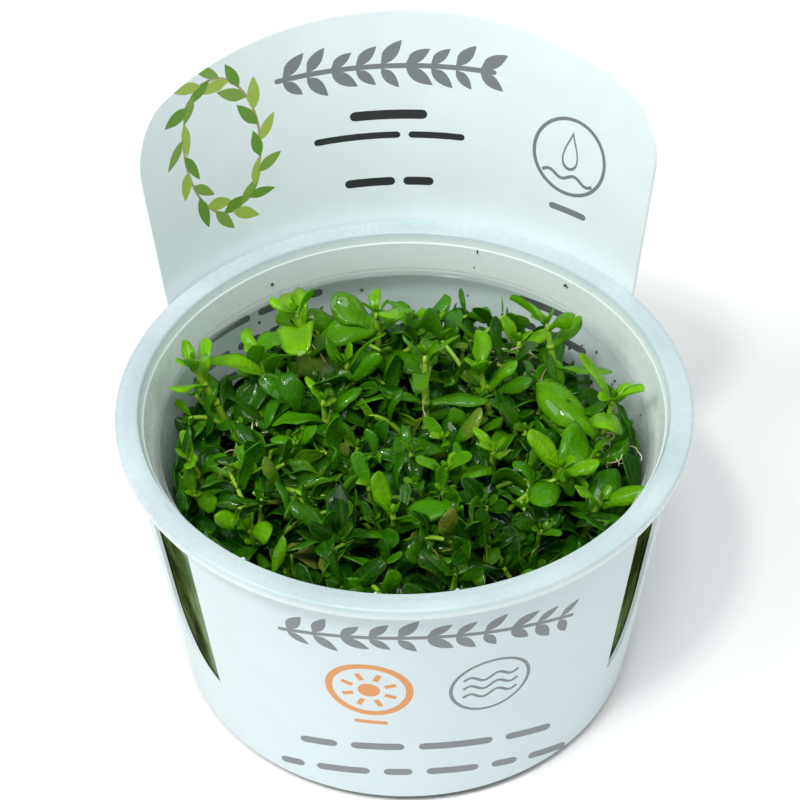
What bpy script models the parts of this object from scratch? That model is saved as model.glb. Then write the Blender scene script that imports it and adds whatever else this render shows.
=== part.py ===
"""Rotala plantlets in a clear culture cup, with a card sleeve that stands up behind as a header.

Metres, +Z up. The origin is on the cup's axis at the underside of its base, and the front is towards -Y.
Angles round the cup are in degrees from the front, positive towards +X.
"""

import math
import random

import bmesh
import bpy
from mathutils import Vector
from mathutils.bvhtree import BVHTree

MM = 0.001
COLLECTION = "rotala_cup"
SEED = 27

# Cup: radii and heights of the turned section
RIM_HEIGHT = 47.8 * MM
RIM_RADIUS = 40.0 * MM
FLANGE_INNER_RADIUS = 36.9 * MM
FLANGE_THICKNESS = 0.9 * MM
LIP_DEPTH = 1.8 * MM
LIP_THICKNESS = 0.9 * MM
BEVEL_RADIUS = 36.2 * MM
BEVEL_DEPTH = 1.4 * MM
STEP_DEPTH = 6.2 * MM
SEAT_FOOT_RADIUS = 35.3 * MM
INNER_TOP_RADIUS = 34.3 * MM
INNER_FOOT_RADIUS = 31.7 * MM
OUTER_FOOT_RADIUS = 32.6 * MM
WALL = 0.9 * MM
FLOOR = 1.0 * MM
CORNER = 0.8 * MM
EDGE = 0.4 * MM
CUP_STEPS = 40

# Sleeve: a card cone that flares more at the back, where it passes outside the flange
CARD = 0.5 * MM
SLEEVE_FOOT = 1.8 * MM
SLEEVE_FOOT_RADIUS = 32.95 * MM
FRONT_FLARE = 0.1105
BACK_FLARE = 0.163
PANEL_TOP = RIM_HEIGHT - 2.4 * MM
HEADER_RISE = 33.2 * MM
HEADER_ARCH_RADIUS = 148.0 * MM
HEADER_CORNER = 7.0 * MM
SHOULDER_RISE = 25.0 * MM
HEADER_NARROWING = 1.35
HEADER_MIDDLE = 180.7
HEADER_HALF = 57.3
SLIT_POINT = 12.9 * MM
SLIT_ROUND = 24.0 * MM
LEFT_SLIT = (-49.9, -66.4)
RIGHT_SLIT = (54.4, 66.4)
PANEL_STEP = 7.5
SLIT_STEP = 3.6
SHOULDER_ARC = 9.0
SHOULDER_TURNS = (0.0, 30.0, 60.0)
HEADER_ROWS = (0.12, 0.56, 1.0)

# Root mat on the floor of the cup
MAT_GAP = 0.35 * MM
MAT_RADIUS = 30.6 * MM
MAT_HEIGHT = 13.0 * MM
MAT_LUMPS = 1.5 * MM
MAT_EDGE_DROP = 1.6 * MM
MAT_EDGE_START = 0.55
MAT_TAPER = 0.985
MAT_RINGS = 4
MAT_STEPS = 24

# Waves over the root mat, in radians per metre along x and y
FINE_WAVES = (410.0, 370.0)
BROAD_WAVES = (230.0, -290.0)

# Sprigs: the tips of those that stand out, as (x, y, height over the rim, foot x, foot y) in millimetres
STANDOUT_TIPS = (
    (-30.1, 9.4, 1.0, -21.5, 9.0),
    (-15.5, 19.3, 2.5, -10.5, 17.5),
    (-21.0, 13.0, -0.5, -12.5, 9.5),
    (-3.7, 20.5, 2.5, -3.5, 19.0),
    (1.9, 24.5, -2.0, 1.5, 25.0),
    (3.1, 9.1, 2.5, 3.2, 3.5),
    (11.0, 10.6, -1.5, 14.5, 6.5),
    (20.8, 15.6, 2.5, 24.0, 11.5),
    (29.4, 2.6, 1.5, 26.5, 1.0),
    (17.5, 23.4, -5.0, 16.0, 20.0),
    (9.0, 24.5, -6.5, 8.5, 22.0),
    (-8.2, 13.5, -2.5, -7.2, 12.0),
    (-11.5, 5.6, -2.5, -10.5, 4.5),
    (-21.8, -5.4, -5.5, -18.5, -4.5),
    (-21.6, -14.6, -7.5, -18.5, -12.5),
    (-30.4, -2.4, -6.0, -25.5, -1.0),
    (-1.8, -15.4, -4.5, -1.2, -14.5),
    (5.5, -8.3, -3.0, 5.0, -7.0),
    (12.4, -3.6, -4.0, 11.5, -2.5),
    (21.4, -8.6, -3.0, 19.0, -7.0),
    (26.8, -12.4, -5.5, 21.5, -12.5),
)
STANDOUT_VIGOUR = (0.98, 1.12)
CARPET_TIPS = 58
CARPET_RADIUS = 31.3 * MM
CARPET_DEPTH = 7.5 * MM
CARPET_SPREAD = 2.2 * MM
CARPET_SHIFT = 1.0 * MM
CARPET_VIGOUR = (0.86, 1.06)
GOLDEN_ANGLE = 137.508
TIP_SPACING = 6.3 * MM
FOOT_PULL = 0.86

KNEE_ACROSS = 0.22
KNEE_UP = 0.55
STEM_STEPS = 20
STEM_LOOK = 0.02
STEM_HALF = 0.42 * MM
STEM_TIP_HALF = 0.26 * MM
STEM_TAPER = 8.0 * MM
FOOTPRINT = 0.75 * MM
FOOT_SHIFT = 1.3 * MM
FOOT_RINGS = 3
NODE_HALF = 0.4 * MM
NODE_DEPTHS = (0.9 * MM, 3.9 * MM, 7.6 * MM, 11.8 * MM)
CARPET_NODES = 3
LEAF_LENGTHS = (4.2 * MM, 5.9 * MM, 6.5 * MM, 6.2 * MM)
LEAF_PITCHES = (50.0, 33.0, 18.0, 8.0)
LEAF_WIDTH = 0.58
LEAF_THICKNESS = 0.5 * MM
LEAF_STATIONS = ((0.62, 1.0), (1.0, 0.5))
LEAF_SAG = 0.16
CLEARANCE = 0.32 * MM
LEAF_TRIES = (
    (0.0, 0.0, 1.0),
    (16.0, 0.0, 1.0),
    (-14.0, 0.0, 1.0),
    (8.0, 22.0, 0.92),
    (8.0, -22.0, 0.92),
    (30.0, 0.0, 0.88),
    (0.0, 0.0, 0.72),
    (24.0, 30.0, 0.72),
    (24.0, -30.0, 0.72),
)

COLOURS = {
    "cup": ((0.80, 0.86, 0.86), 0.35),
    "sleeve": ((0.86, 0.91, 0.92), 0.45),
    "root_mat": ((0.12, 0.09, 0.04), 0.8),
    "leaf": ((0.10, 0.36, 0.03), 0.3),
}


def clear_scene():
    for obj in list(bpy.data.objects):
        bpy.data.objects.remove(obj, do_unlink=True)


def principled(name, colour, roughness):
    material = bpy.data.materials.new(name)
    material.use_nodes = True
    shader = material.node_tree.nodes["Principled BSDF"]
    shader.inputs["Base Color"].default_value = (*colour, 1.0)
    shader.inputs["Roughness"].default_value = roughness
    shader.inputs["Metallic"].default_value = 0.0
    return material


def add_object(name, mesh, material, collection):
    obj = bpy.data.objects.new(name, mesh)
    mesh.materials.append(material)
    collection.objects.link(obj)
    return obj


def lerp(a, b, t):
    return a + (b - a) * t


def smooth(t):
    t = min(max(t, 0.0), 1.0)
    return t * t * (3.0 - 2.0 * t)


def on_circle(angle, radius, height):
    """A point at an angle from the front, at a radius and height."""
    turn = math.radians(angle)
    return Vector((radius * math.sin(turn), -radius * math.cos(turn), height))


def turned(name, section, steps, material, collection):
    """A closed section in the XZ plane, from the axis out and down the outer side, turned round Z."""
    mesh = bpy.data.meshes.new(name)
    edges = [(i, i + 1) for i in range(len(section) - 1)]
    mesh.from_pydata([(r, 0.0, z) for r, z in section], edges, [])
    obj = add_object(name, mesh, material, collection)
    screw = obj.modifiers.new("turn", "SCREW")
    screw.steps = steps
    screw.render_steps = steps
    screw.use_merge_vertices = True
    screw.merge_threshold = 0.00002
    return obj


def cup_section():
    step_height = RIM_HEIGHT - STEP_DEPTH
    seat_top = RIM_HEIGHT - BEVEL_DEPTH
    flange_under = RIM_HEIGHT - FLANGE_THICKNESS
    seat_outer = BEVEL_RADIUS + WALL
    return [
        (0.0, FLOOR),
        (INNER_FOOT_RADIUS - CORNER, FLOOR),
        (INNER_FOOT_RADIUS, FLOOR + CORNER),
        (INNER_TOP_RADIUS, step_height),
        (SEAT_FOOT_RADIUS, step_height + EDGE),
        (BEVEL_RADIUS, seat_top),
        (FLANGE_INNER_RADIUS, RIM_HEIGHT),
        (RIM_RADIUS - EDGE, RIM_HEIGHT),
        (RIM_RADIUS, RIM_HEIGHT - EDGE),
        (RIM_RADIUS - EDGE, RIM_HEIGHT - LIP_DEPTH),
        (RIM_RADIUS - LIP_THICKNESS, RIM_HEIGHT - LIP_DEPTH),
        (RIM_RADIUS - LIP_THICKNESS, flange_under),
        (seat_outer + EDGE, flange_under),
        (seat_outer, step_height),
        (INNER_TOP_RADIUS + WALL, step_height - WALL),
        (OUTER_FOOT_RADIUS, CORNER),
        (OUTER_FOOT_RADIUS - CORNER, 0.0),
        (0.0, 0.0),
    ]


def inner_radius(height):
    """Radius of the clear space in the cup at a height."""
    step_height = RIM_HEIGHT - STEP_DEPTH
    t = (height - FLOOR) / (step_height - FLOOR)
    return lerp(INNER_FOOT_RADIUS, INNER_TOP_RADIUS, min(max(t, 0.0), 1.0))


def sleeve_radius(angle, height):
    """Radius of the card's inner face: the flare grows from the slits round to the header."""
    off_front = abs((angle + 180.0) % 360.0 - 180.0)
    back = smooth((off_front - abs(RIGHT_SLIT[1])) / (180.0 - HEADER_HALF - abs(RIGHT_SLIT[1])))
    return SLEEVE_FOOT_RADIUS + lerp(FRONT_FLARE, BACK_FLARE, back) * (height - SLEEVE_FOOT)


def slit_floor(angle, slit):
    """Lower edge of a slit: a quarter ellipse from its point back to its round."""
    t = (angle - slit[0]) / (slit[1] - slit[0])
    return SLIT_ROUND - (SLIT_ROUND - SLIT_POINT) * math.sqrt(max(1.0 - t * t, 0.0))


def header_top(angle):
    """Height of the header's arched top, with rounded shoulders."""
    radius = sleeve_radius(angle, RIM_HEIGHT + HEADER_RISE)
    half = math.radians(HEADER_HALF) * radius * (1.0 - HEADER_NARROWING * SHOULDER_RISE)
    along = min(abs(math.radians(angle - HEADER_MIDDLE)) / math.radians(HEADER_HALF), 1.0) * half
    top = RIM_HEIGHT + HEADER_RISE - along * along / (2.0 * HEADER_ARCH_RADIUS)
    past = along - (half - HEADER_CORNER)
    if past > 0.0:
        top -= HEADER_CORNER - math.sqrt(max(HEADER_CORNER ** 2 - past ** 2, 0.0))
    return top


def spread(first, last, step):
    """Evenly spaced angles from first to last, both kept, about step apart."""
    count = max(1, round(abs(last - first) / step))
    return [lerp(first, last, i / count) for i in range(count + 1)]


def sleeve_columns():
    """(angle, panel, header) once round, from the left slit's point to itself."""
    header_first = HEADER_MIDDLE - HEADER_HALF
    header_last = HEADER_MIDDLE + HEADER_HALF
    steps = [SHOULDER_ARC * (1.0 - math.cos(math.radians(turn))) for turn in SHOULDER_TURNS]
    middle = spread(header_first + SHOULDER_ARC, header_last - SHOULDER_ARC, PANEL_STEP)
    header = [header_first + s for s in steps] + middle + [header_last - s for s in reversed(steps)]
    columns = [(a, "front") for a in spread(LEFT_SLIT[0], RIGHT_SLIT[0], PANEL_STEP)]
    columns += [(a, "slit") for a in spread(RIGHT_SLIT[0], RIGHT_SLIT[1], SLIT_STEP)[1:-1]]
    columns += [(a, "side") for a in spread(RIGHT_SLIT[1], header_first, PANEL_STEP)[:-1]]
    columns += [(a, "header") for a in header]
    columns += [(a, "side") for a in spread(header_last, 360.0 + LEFT_SLIT[1], PANEL_STEP)[1:]]
    columns += [(a, "slit") for a in spread(360.0 + LEFT_SLIT[1], 360.0 + LEFT_SLIT[0], SLIT_STEP)[1:-1]]
    return columns


def sleeve_heights(angle, kind):
    """Heights of the rows of a column: foot, waist, and above it where the card goes on."""
    if kind == "front":
        waist = SLIT_POINT
    elif kind == "slit" and angle < 180.0:
        waist = slit_floor(angle, RIGHT_SLIT)
    elif kind == "slit":
        waist = slit_floor(angle - 360.0, LEFT_SLIT)
    else:
        waist = SLIT_ROUND
    rows = [SLEEVE_FOOT, waist]
    if kind != "slit":
        rows += [lerp(waist, PANEL_TOP, 0.5), PANEL_TOP]
    if kind == "header":
        top = header_top(angle)
        rows += [lerp(PANEL_TOP, top, t) for t in HEADER_ROWS]
    return rows


def make_sleeve(material, collection):
    bm = bmesh.new()
    columns = sleeve_columns()
    grid = []
    for angle, kind in columns:
        verts = []
        for height in sleeve_heights(angle, kind):
            above = max(height - RIM_HEIGHT, 0.0)
            leaning = HEADER_MIDDLE + (angle - HEADER_MIDDLE) * (1.0 - HEADER_NARROWING * above)
            turn = leaning if kind == "header" else angle
            verts.append(bm.verts.new(on_circle(turn, sleeve_radius(turn, height), height)))
        grid.append(verts)
    for i, verts in enumerate(grid):
        after = grid[(i + 1) % len(grid)]
        for row in range(min(len(verts), len(after)) - 1):
            bm.faces.new((verts[row], after[row], after[row + 1], verts[row + 1]))
    bmesh.ops.recalc_face_normals(bm, faces=bm.faces)
    middles = [f.calc_center_median() for f in bm.faces]
    outward = sum(f.normal.x * middle.x + f.normal.y * middle.y for f, middle in zip(bm.faces, middles))
    if outward < 0.0:
        bmesh.ops.reverse_faces(bm, faces=bm.faces)
    mesh = bpy.data.meshes.new("sleeve")
    bm.to_mesh(mesh)
    bm.free()
    mesh.shade_smooth()
    obj = add_object("sleeve", mesh, material, collection)
    card = obj.modifiers.new("card", "SOLIDIFY")
    card.thickness = CARD
    card.offset = 1.0
    return obj


def mat_top(x, y):
    """Height of the lumpy top of the root mat."""
    fine = math.sin(x * FINE_WAVES[0]) * math.cos(y * FINE_WAVES[1])
    broad = math.sin(x * BROAD_WAVES[0] + y * BROAD_WAVES[1])
    edge = smooth((math.hypot(x, y) / MAT_RADIUS - MAT_EDGE_START) / (1.0 - MAT_EDGE_START))
    return FLOOR + MAT_HEIGHT + MAT_LUMPS * lerp(fine, broad, 0.4) - MAT_EDGE_DROP * edge


def make_mat(material, collection):
    bm = bmesh.new()
    foot = FLOOR + MAT_GAP
    middle = bm.verts.new((0.0, 0.0, mat_top(0.0, 0.0)))
    under = bm.verts.new((0.0, 0.0, foot))
    rings = []
    for ring in range(1, MAT_RINGS + 1):
        radius = MAT_RADIUS * ring / MAT_RINGS
        verts = []
        for i in range(MAT_STEPS):
            place = on_circle(360.0 * i / MAT_STEPS, radius, 0.0)
            verts.append(bm.verts.new((place.x, place.y, mat_top(place.x, place.y))))
        rings.append(verts)
    rings.append([bm.verts.new((v.co.x * MAT_TAPER, v.co.y * MAT_TAPER, foot)) for v in rings[-1]])
    for i in range(MAT_STEPS):
        j = (i + 1) % MAT_STEPS
        bm.faces.new((middle, rings[0][i], rings[0][j]))
        bm.faces.new((under, rings[-1][j], rings[-1][i]))
        for inner, outer in zip(rings, rings[1:]):
            bm.faces.new((inner[i], outer[i], outer[j], inner[j]))
    bmesh.ops.triangulate(bm, faces=bm.faces)
    bmesh.ops.recalc_face_normals(bm, faces=bm.faces)
    mesh = bpy.data.meshes.new("root_mat")
    bm.to_mesh(mesh)
    bm.free()
    return add_object("root_mat", mesh, material, collection)


def sprig_plan():
    """Tip, foot, turn, vigour and leaf pairs of every sprig: the standout ones, then an even carpet."""
    rng = random.Random(SEED)
    plan = []
    for x, y, over, foot_x, foot_y in STANDOUT_TIPS:
        tip = Vector((x * MM, y * MM, RIM_HEIGHT + over * MM))
        foot = Vector((foot_x * MM, foot_y * MM, 0.0))
        plan.append((tip, foot, rng.uniform(0.0, 90.0), rng.uniform(*STANDOUT_VIGOUR), len(NODE_DEPTHS)))
    for i in range(CARPET_TIPS):
        radius = CARPET_RADIUS * math.sqrt((i + 0.5) / CARPET_TIPS)
        place = on_circle(GOLDEN_ANGLE * i, radius, 0.0)
        shift = Vector((rng.uniform(-1.0, 1.0), rng.uniform(-1.0, 1.0), 0.0)) * CARPET_SHIFT
        height = RIM_HEIGHT - CARPET_DEPTH + rng.uniform(-1.0, 1.0) * CARPET_SPREAD
        turn = rng.uniform(0.0, 90.0)
        vigour = rng.uniform(*CARPET_VIGOUR)
        tip = place + shift
        tip.z = height
        crowd = min((tip.xy - other[0].xy).length for other in plan)
        if crowd > TIP_SPACING:
            foot = Vector((tip.x * FOOT_PULL, tip.y * FOOT_PULL, 0.0))
            plan.append((tip, foot, turn, vigour, CARPET_NODES))
    return plan


def stem_point(tip, foot, t):
    """A stem rises nearly upright from its foot, then bends over to its tip."""
    height = tip.z - foot.z
    knee = foot.lerp(tip, KNEE_ACROSS)
    knee.z = foot.z + KNEE_UP * height
    return foot * (1.0 - t) ** 2 + knee * 2.0 * t * (1.0 - t) + tip * t ** 2


def stem_frame(tip, foot, t, turn):
    """Place, direction and two side directions of the stem at t."""
    ahead = stem_point(tip, foot, min(t + STEM_LOOK, 1.0))
    behind = stem_point(tip, foot, max(t - STEM_LOOK, 0.0))
    along = (ahead - behind).normalized()
    side = on_circle(turn, 1.0, 0.0)
    side = (side - along * side.dot(along)).normalized()
    return stem_point(tip, foot, t), along, side, along.cross(side)


def leaf_rings(root, aim, along, length, widen=0.0):
    """Rings of four points along a leaf, from its foot on the stem to its tip, and its two cross axes."""
    across = along.cross(aim).normalized()
    face_up = aim.cross(across)
    if face_up.dot(along) < 0.0:
        face_up.negate()
    sections = [(0.0, STEM_HALF, NODE_HALF)]
    for reach, share in LEAF_STATIONS:
        sections.append((reach, share * length * LEAF_WIDTH * 0.5, LEAF_THICKNESS * 0.5))
    rings = []
    for reach, half, thick in sections:
        far = length * reach + (widen if reach == 1.0 else 0.0)
        middle = root + aim * far - Vector((0.0, 0.0, LEAF_SAG * length * reach * reach))
        wide = across * (half + widen)
        deep = face_up * (thick + widen)
        rings.append([middle - wide - deep, middle + wide - deep, middle + wide + deep, middle - wide + deep])
    return rings, across, face_up


def ring_tree(rings):
    """A closed shape through rings of four points, for overlap tests."""
    points = [p for ring in rings for p in ring]
    last = len(points) - 4
    faces = [(3, 2, 1, 0), (last, last + 1, last + 2, last + 3)]
    for base in range(0, last, 4):
        faces += [(base + k, base + (k + 1) % 4, base + 4 + (k + 1) % 4, base + 4 + k) for k in range(4)]
    return BVHTree.FromPolygons(points, faces), points


def boxes_meet(a, b):
    return all(a[0][k] <= b[1][k] and b[0][k] <= a[1][k] for k in range(3))


def box_of(points):
    low = Vector((min(p[k] for p in points) for k in range(3)))
    high = Vector((max(p[k] for p in points) for k in range(3)))
    return low, high


def is_clear(rings, placed):
    """True where a shape stays off everything placed, the cup's wall and the root mat."""
    tree, points = ring_tree(rings)
    for p in points:
        if math.hypot(p.x, p.y) > inner_radius(p.z) - CLEARANCE:
            return False
        if p.z < FLOOR + MAT_HEIGHT + 2.0 * MAT_LUMPS:
            return False
    box = box_of(points)
    return not any(boxes_meet(box, other_box) and tree.overlap(other) for other, other_box in placed)


def remember(rings, placed):
    tree, points = ring_tree(rings)
    placed.append((tree, box_of(points)))


def stem_rings(tip, foot, turn, pairs, widen=0.0):
    """Rings up the stem, with the numbers of the short spans that carry a leaf pair."""
    course = [stem_point(tip, foot, i / STEM_STEPS) for i in range(STEM_STEPS + 1)]
    length = sum((b - a).length for a, b in zip(course, course[1:]))
    depths = [length, lerp(length, NODE_DEPTHS[pairs - 1], 0.5)]
    carriers = []
    for depth in reversed(NODE_DEPTHS[:pairs]):
        depths += [depth + NODE_HALF, depth - NODE_HALF]
        carriers.append(len(depths) - 2)
    depths.append(0.0)
    rings = []
    for depth in depths:
        t = 1.0 - depth / length
        place, _, side, other = stem_frame(tip, foot, t, turn)
        half = lerp(STEM_TIP_HALF, STEM_HALF, smooth(depth / STEM_TAPER)) + widen
        rings.append([
            place + side * half + other * half,
            place - side * half + other * half,
            place - side * half - other * half,
            place + side * half - other * half,
        ])
    return rings, carriers[::-1], length


def ring_corner(right, upper):
    """Which of a leaf ring's four points a corner belongs to."""
    if upper:
        return 2 if right else 3
    return 1 if right else 0


def make_sprig(name, sprig, placed, material, collection):
    tip, foot, turn, vigour, pairs = sprig
    rings, carriers, length = stem_rings(tip, foot, turn, pairs)
    bm = bmesh.new()
    loft = [[bm.verts.new(p) for p in ring] for ring in rings]
    bm.faces.new(loft[0][::-1])
    bm.faces.new(loft[-1])
    spans = []
    for low, high in zip(loft, loft[1:]):
        spans.append([bm.faces.new((low[k], low[(k + 1) % 4], high[(k + 1) % 4], high[k])) for k in range(4)])
    own = []
    for number, carrier in enumerate(carriers):
        t = 1.0 - NODE_DEPTHS[number] / length
        place, along, side, other = stem_frame(tip, foot, t, turn)
        pair = ((3, side), (1, -side)) if number % 2 == 0 else ((0, other), (2, -other))
        for face_number, out in pair:
            leaf = fit_leaf(place, along, out, number, vigour, placed + own)
            if leaf is None:
                continue
            grown, across, face_up = leaf
            remember(grown, own)
            face = spans[carrier][face_number]
            middle = face.calc_center_median()
            upward = along
            for ring in grown[1:]:
                face = bmesh.ops.extrude_discrete_faces(bm, faces=[face])["faces"][0]
                for v in face.verts:
                    arm = v.co - middle
                    v.co = ring[ring_corner(arm.dot(across) > 0.0, arm.dot(upward) > 0.0)]
                middle = sum(ring, Vector()) / 4.0
                upward = face_up
    placed.extend(own)
    remember(rings, placed)
    bmesh.ops.recalc_face_normals(bm, faces=bm.faces)
    mesh = bpy.data.meshes.new(name)
    bm.to_mesh(mesh)
    bm.free()
    return add_object(name, mesh, material, collection)


def fit_leaf(place, along, out, number, vigour, placed):
    """The first of several ways to hold a leaf that is clear, or None: then the leaf is missing."""
    for lift, swing, scale in LEAF_TRIES:
        pitch = math.radians(LEAF_PITCHES[number] + lift)
        across = along.cross(out)
        heading = out * math.cos(math.radians(swing)) + across * math.sin(math.radians(swing))
        aim = (heading * math.cos(pitch) + along * math.sin(pitch)).normalized()
        length = LEAF_LENGTHS[number] * vigour * scale
        root = place + out * STEM_HALF
        test, _, _ = leaf_rings(root, aim, along, length, CLEARANCE)
        if is_clear(test, placed):
            return leaf_rings(root, aim, along, length)
    return None


def mat_under(foot, mat_tree):
    """The highest point of the mat's facets under a stem's foot."""
    heights = []
    for dx in (-FOOTPRINT, 0.0, FOOTPRINT):
        for dy in (-FOOTPRINT, 0.0, FOOTPRINT):
            above = Vector((foot.x + dx, foot.y + dy, RIM_HEIGHT))
            heights.append(mat_tree.ray_cast(above, Vector((0.0, 0.0, -1.0)))[0].z)
    return max(heights)


def stand_clear(tip, foot, turn, pairs, mat_tree, stems):
    """Moves a foot on the mat to the first of several places where its stem meets no other stem."""
    first = foot.copy()
    shifts = [Vector((0.0, 0.0, 0.0))]
    for ring in range(1, FOOT_RINGS + 1):
        shifts += [on_circle(60.0 * i + 30.0 * ring, FOOT_SHIFT * ring, 0.0) for i in range(6)]
    for shift in shifts:
        foot.xy = (first + shift).xy
        if foot.xy.length > MAT_RADIUS - 2.0 * FOOTPRINT:
            continue
        foot.z = mat_under(foot, mat_tree) + CLEARANCE
        rings, _, _ = stem_rings(tip, foot, turn, pairs, CLEARANCE * 0.5)
        tree, points = ring_tree(rings)
        box = box_of(points)
        if not any(boxes_meet(box, other_box) and tree.overlap(other) for other, other_box in stems):
            stems.append((tree, box))
            return
    raise ValueError("a stem has no clear place")


def make_sprigs(mat, material, collection):
    plan = sprig_plan()
    facets = [p.vertices for p in mat.data.polygons]
    mat_tree = BVHTree.FromPolygons([v.co for v in mat.data.vertices], facets)
    stems = []
    for tip, foot, turn, _, pairs in plan:
        stand_clear(tip, foot, turn, pairs, mat_tree, stems)
    grown = []
    for number, sprig in enumerate(plan):
        others = stems[:number] + stems[number + 1:] + grown
        before = len(others)
        name = f"sprig_{number + 1:02d}"
        make_sprig(name, sprig, others, material, collection)
        grown += others[before:]


def main():
    clear_scene()
    collection = bpy.data.collections.new(COLLECTION)
    bpy.context.scene.collection.children.link(collection)
    materials = {name: principled(name, *look) for name, look in COLOURS.items()}
    turned("cup", cup_section(), CUP_STEPS, materials["cup"], collection)
    make_sleeve(materials["sleeve"], collection)
    mat = make_mat(materials["root_mat"], collection)
    make_sprigs(mat, materials["leaf"], collection)


main()
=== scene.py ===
"""The looks of a cup of rotala sprigs: milky cup, printed card sleeve, root tangle and leafy sprigs.

Metres, +Z up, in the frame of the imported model: the origin is on the cup's axis at the underside of its
base, and the front is towards -Y. Angles round the cup are in degrees from the front, positive towards +X.
"""

import math
import random

import bmesh
import bpy
import numpy as np
from mathutils import Matrix, Vector
from mathutils.geometry import delaunay_2d_cdt


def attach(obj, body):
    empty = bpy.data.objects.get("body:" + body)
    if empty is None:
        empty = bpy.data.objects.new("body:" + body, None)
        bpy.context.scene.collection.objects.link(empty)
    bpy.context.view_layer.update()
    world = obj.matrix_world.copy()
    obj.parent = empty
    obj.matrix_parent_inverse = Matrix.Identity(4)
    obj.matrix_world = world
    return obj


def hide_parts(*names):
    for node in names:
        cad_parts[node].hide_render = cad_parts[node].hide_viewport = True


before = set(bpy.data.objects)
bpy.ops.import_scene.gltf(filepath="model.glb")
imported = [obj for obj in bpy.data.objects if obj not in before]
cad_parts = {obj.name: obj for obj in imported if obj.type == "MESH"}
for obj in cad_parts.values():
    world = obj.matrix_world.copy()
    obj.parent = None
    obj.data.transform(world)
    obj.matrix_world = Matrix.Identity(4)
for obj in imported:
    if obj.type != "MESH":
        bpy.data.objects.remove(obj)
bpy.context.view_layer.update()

MM = 0.001
SEED = 27

# Cup
RIM_HEIGHT = 47.8 * MM
RIM_RADIUS = 40.0 * MM
FLANGE_INNER_RADIUS = 36.9 * MM
FLANGE_THICKNESS = 0.9 * MM
LIP_DEPTH = 1.8 * MM
LIP_THICKNESS = 0.9 * MM
BEVEL_RADIUS = 36.2 * MM
BEVEL_DEPTH = 1.4 * MM
STEP_DEPTH = 6.2 * MM
STEP_HEIGHT = RIM_HEIGHT - STEP_DEPTH
SEAT_FOOT_RADIUS = 35.3 * MM
INNER_TOP_RADIUS = 34.3 * MM
INNER_FOOT_RADIUS = 31.7 * MM
OUTER_FOOT_RADIUS = 32.6 * MM
WALL = 0.9 * MM
FLOOR = 1.0 * MM
CUP_STEPS = 180

# Moulding nibs on the flange's inner edge, as (angle, height, size)
NIBS = (
    (-34.7, RIM_HEIGHT - 0.15 * MM, 0.34 * MM),
    (-6.3, RIM_HEIGHT - 0.15 * MM, 0.26 * MM),
    (9.8, RIM_HEIGHT - 0.15 * MM, 0.28 * MM),
)

# Card sleeve
CARD = 0.5 * MM
SLEEVE_FOOT = 1.8 * MM
SLEEVE_FOOT_RADIUS = 32.95 * MM
FRONT_FLARE = 0.1105
BACK_FLARE = 0.163
PANEL_TOP = RIM_HEIGHT - 2.4 * MM
HEADER_RISE = 33.2 * MM
HEADER_ARCH_RADIUS = 148.0 * MM
HEADER_CORNER = 7.0 * MM
SHOULDER_RISE = 25.0 * MM
HEADER_NARROWING = 1.35
HEADER_MIDDLE = 180.7
HEADER_HALF = 57.3
SLIT_POINT = 12.9 * MM
SLIT_ROUND = 24.0 * MM
LEFT_SLIT = (-49.9, -66.4)
RIGHT_SLIT = (54.4, 66.4)
PANEL_CORNER = 2.3 * MM
SEAM = -90.0
CARD_GRID = 2.4 * MM
CARD_EDGE_STEP = 0.8 * MM
UNROLLED_RADIUS = 37.0 * MM

# Colours of the card's inner face, of its outer face (the same white card, painted darker as shade), and of
# the inks
INKS = {
    "card_white": (0.80, 0.885, 0.905),
    "shaded_outer_white": (0.665, 0.765, 0.79),
    "ink_grey": (0.20, 0.22, 0.235),
    "ink_black": (0.03, 0.032, 0.035),
    "ink_orange": (0.72, 0.30, 0.09),
    "ink_green": (0.13, 0.30, 0.035),
    "ink_lime": (0.36, 0.50, 0.08),
    "ink_moss": (0.22, 0.36, 0.06),
    "ink_bark": (0.42, 0.34, 0.20),
}

# Sprigs: the tips of those that stand out, as (x, y, height over the rim) in millimetres
STANDOUT_TIPS = (
    (-30.1, 9.4, 1.0),
    (-15.5, 19.3, 2.5),
    (-21.0, 13.0, -0.5),
    (-3.7, 20.5, 2.5),
    (1.9, 24.5, -2.0),
    (3.1, 9.1, 2.5),
    (11.0, 10.6, -1.5),
    (20.8, 15.6, 2.5),
    (29.4, 2.6, 1.5),
    (17.5, 23.4, -5.0),
    (9.0, 24.5, -6.5),
    (-8.2, 13.5, -2.5),
    (-11.5, 5.6, -2.5),
    (-21.8, -5.4, -5.5),
    (-21.6, -14.6, -7.5),
    (-30.4, -2.4, -6.0),
    (-1.8, -15.4, -4.5),
    (5.5, -8.3, -3.0),
    (12.4, -3.6, -4.0),
    (21.4, -8.6, -3.0),
    (26.8, -12.4, -5.5),
)
STANDOUT_VIGOUR = (1.0, 1.16)
STANDOUT_SINK = 2.9 * MM
# By place in the list above: how much lower than the rest a stem ends, and how much larger its leaves are
EXTRA_SINKS = {3: 1.5 * MM, 4: 1.8 * MM, 8: 1.9 * MM, 9: 2.6 * MM, 10: 2.6 * MM}
LEAF_BOOSTS = {1: 1.15, 3: 1.1, 5: 1.15, 7: 1.15, 8: 1.25, 11: 1.2, 14: 1.2, 19: 1.15}
CARPET_TIPS = 58
CARPET_RADIUS = 31.3 * MM
CARPET_DEPTH = 7.5 * MM
CARPET_SPREAD = 2.2 * MM
CARPET_SHIFT = 1.0 * MM
CARPET_VIGOUR = (0.86, 1.06)
CARPET_PAIRS = 3
GOLDEN_ANGLE = 137.508
TIP_SPACING = 6.3 * MM
KNEE_ACROSS = 0.22
KNEE_UP = 0.55
NODE_DEPTHS = (0.9 * MM, 3.9 * MM, 7.6 * MM, 11.8 * MM)
DEEPER_NODES = (16.4 * MM, 21.2 * MM, 26.2 * MM)
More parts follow.
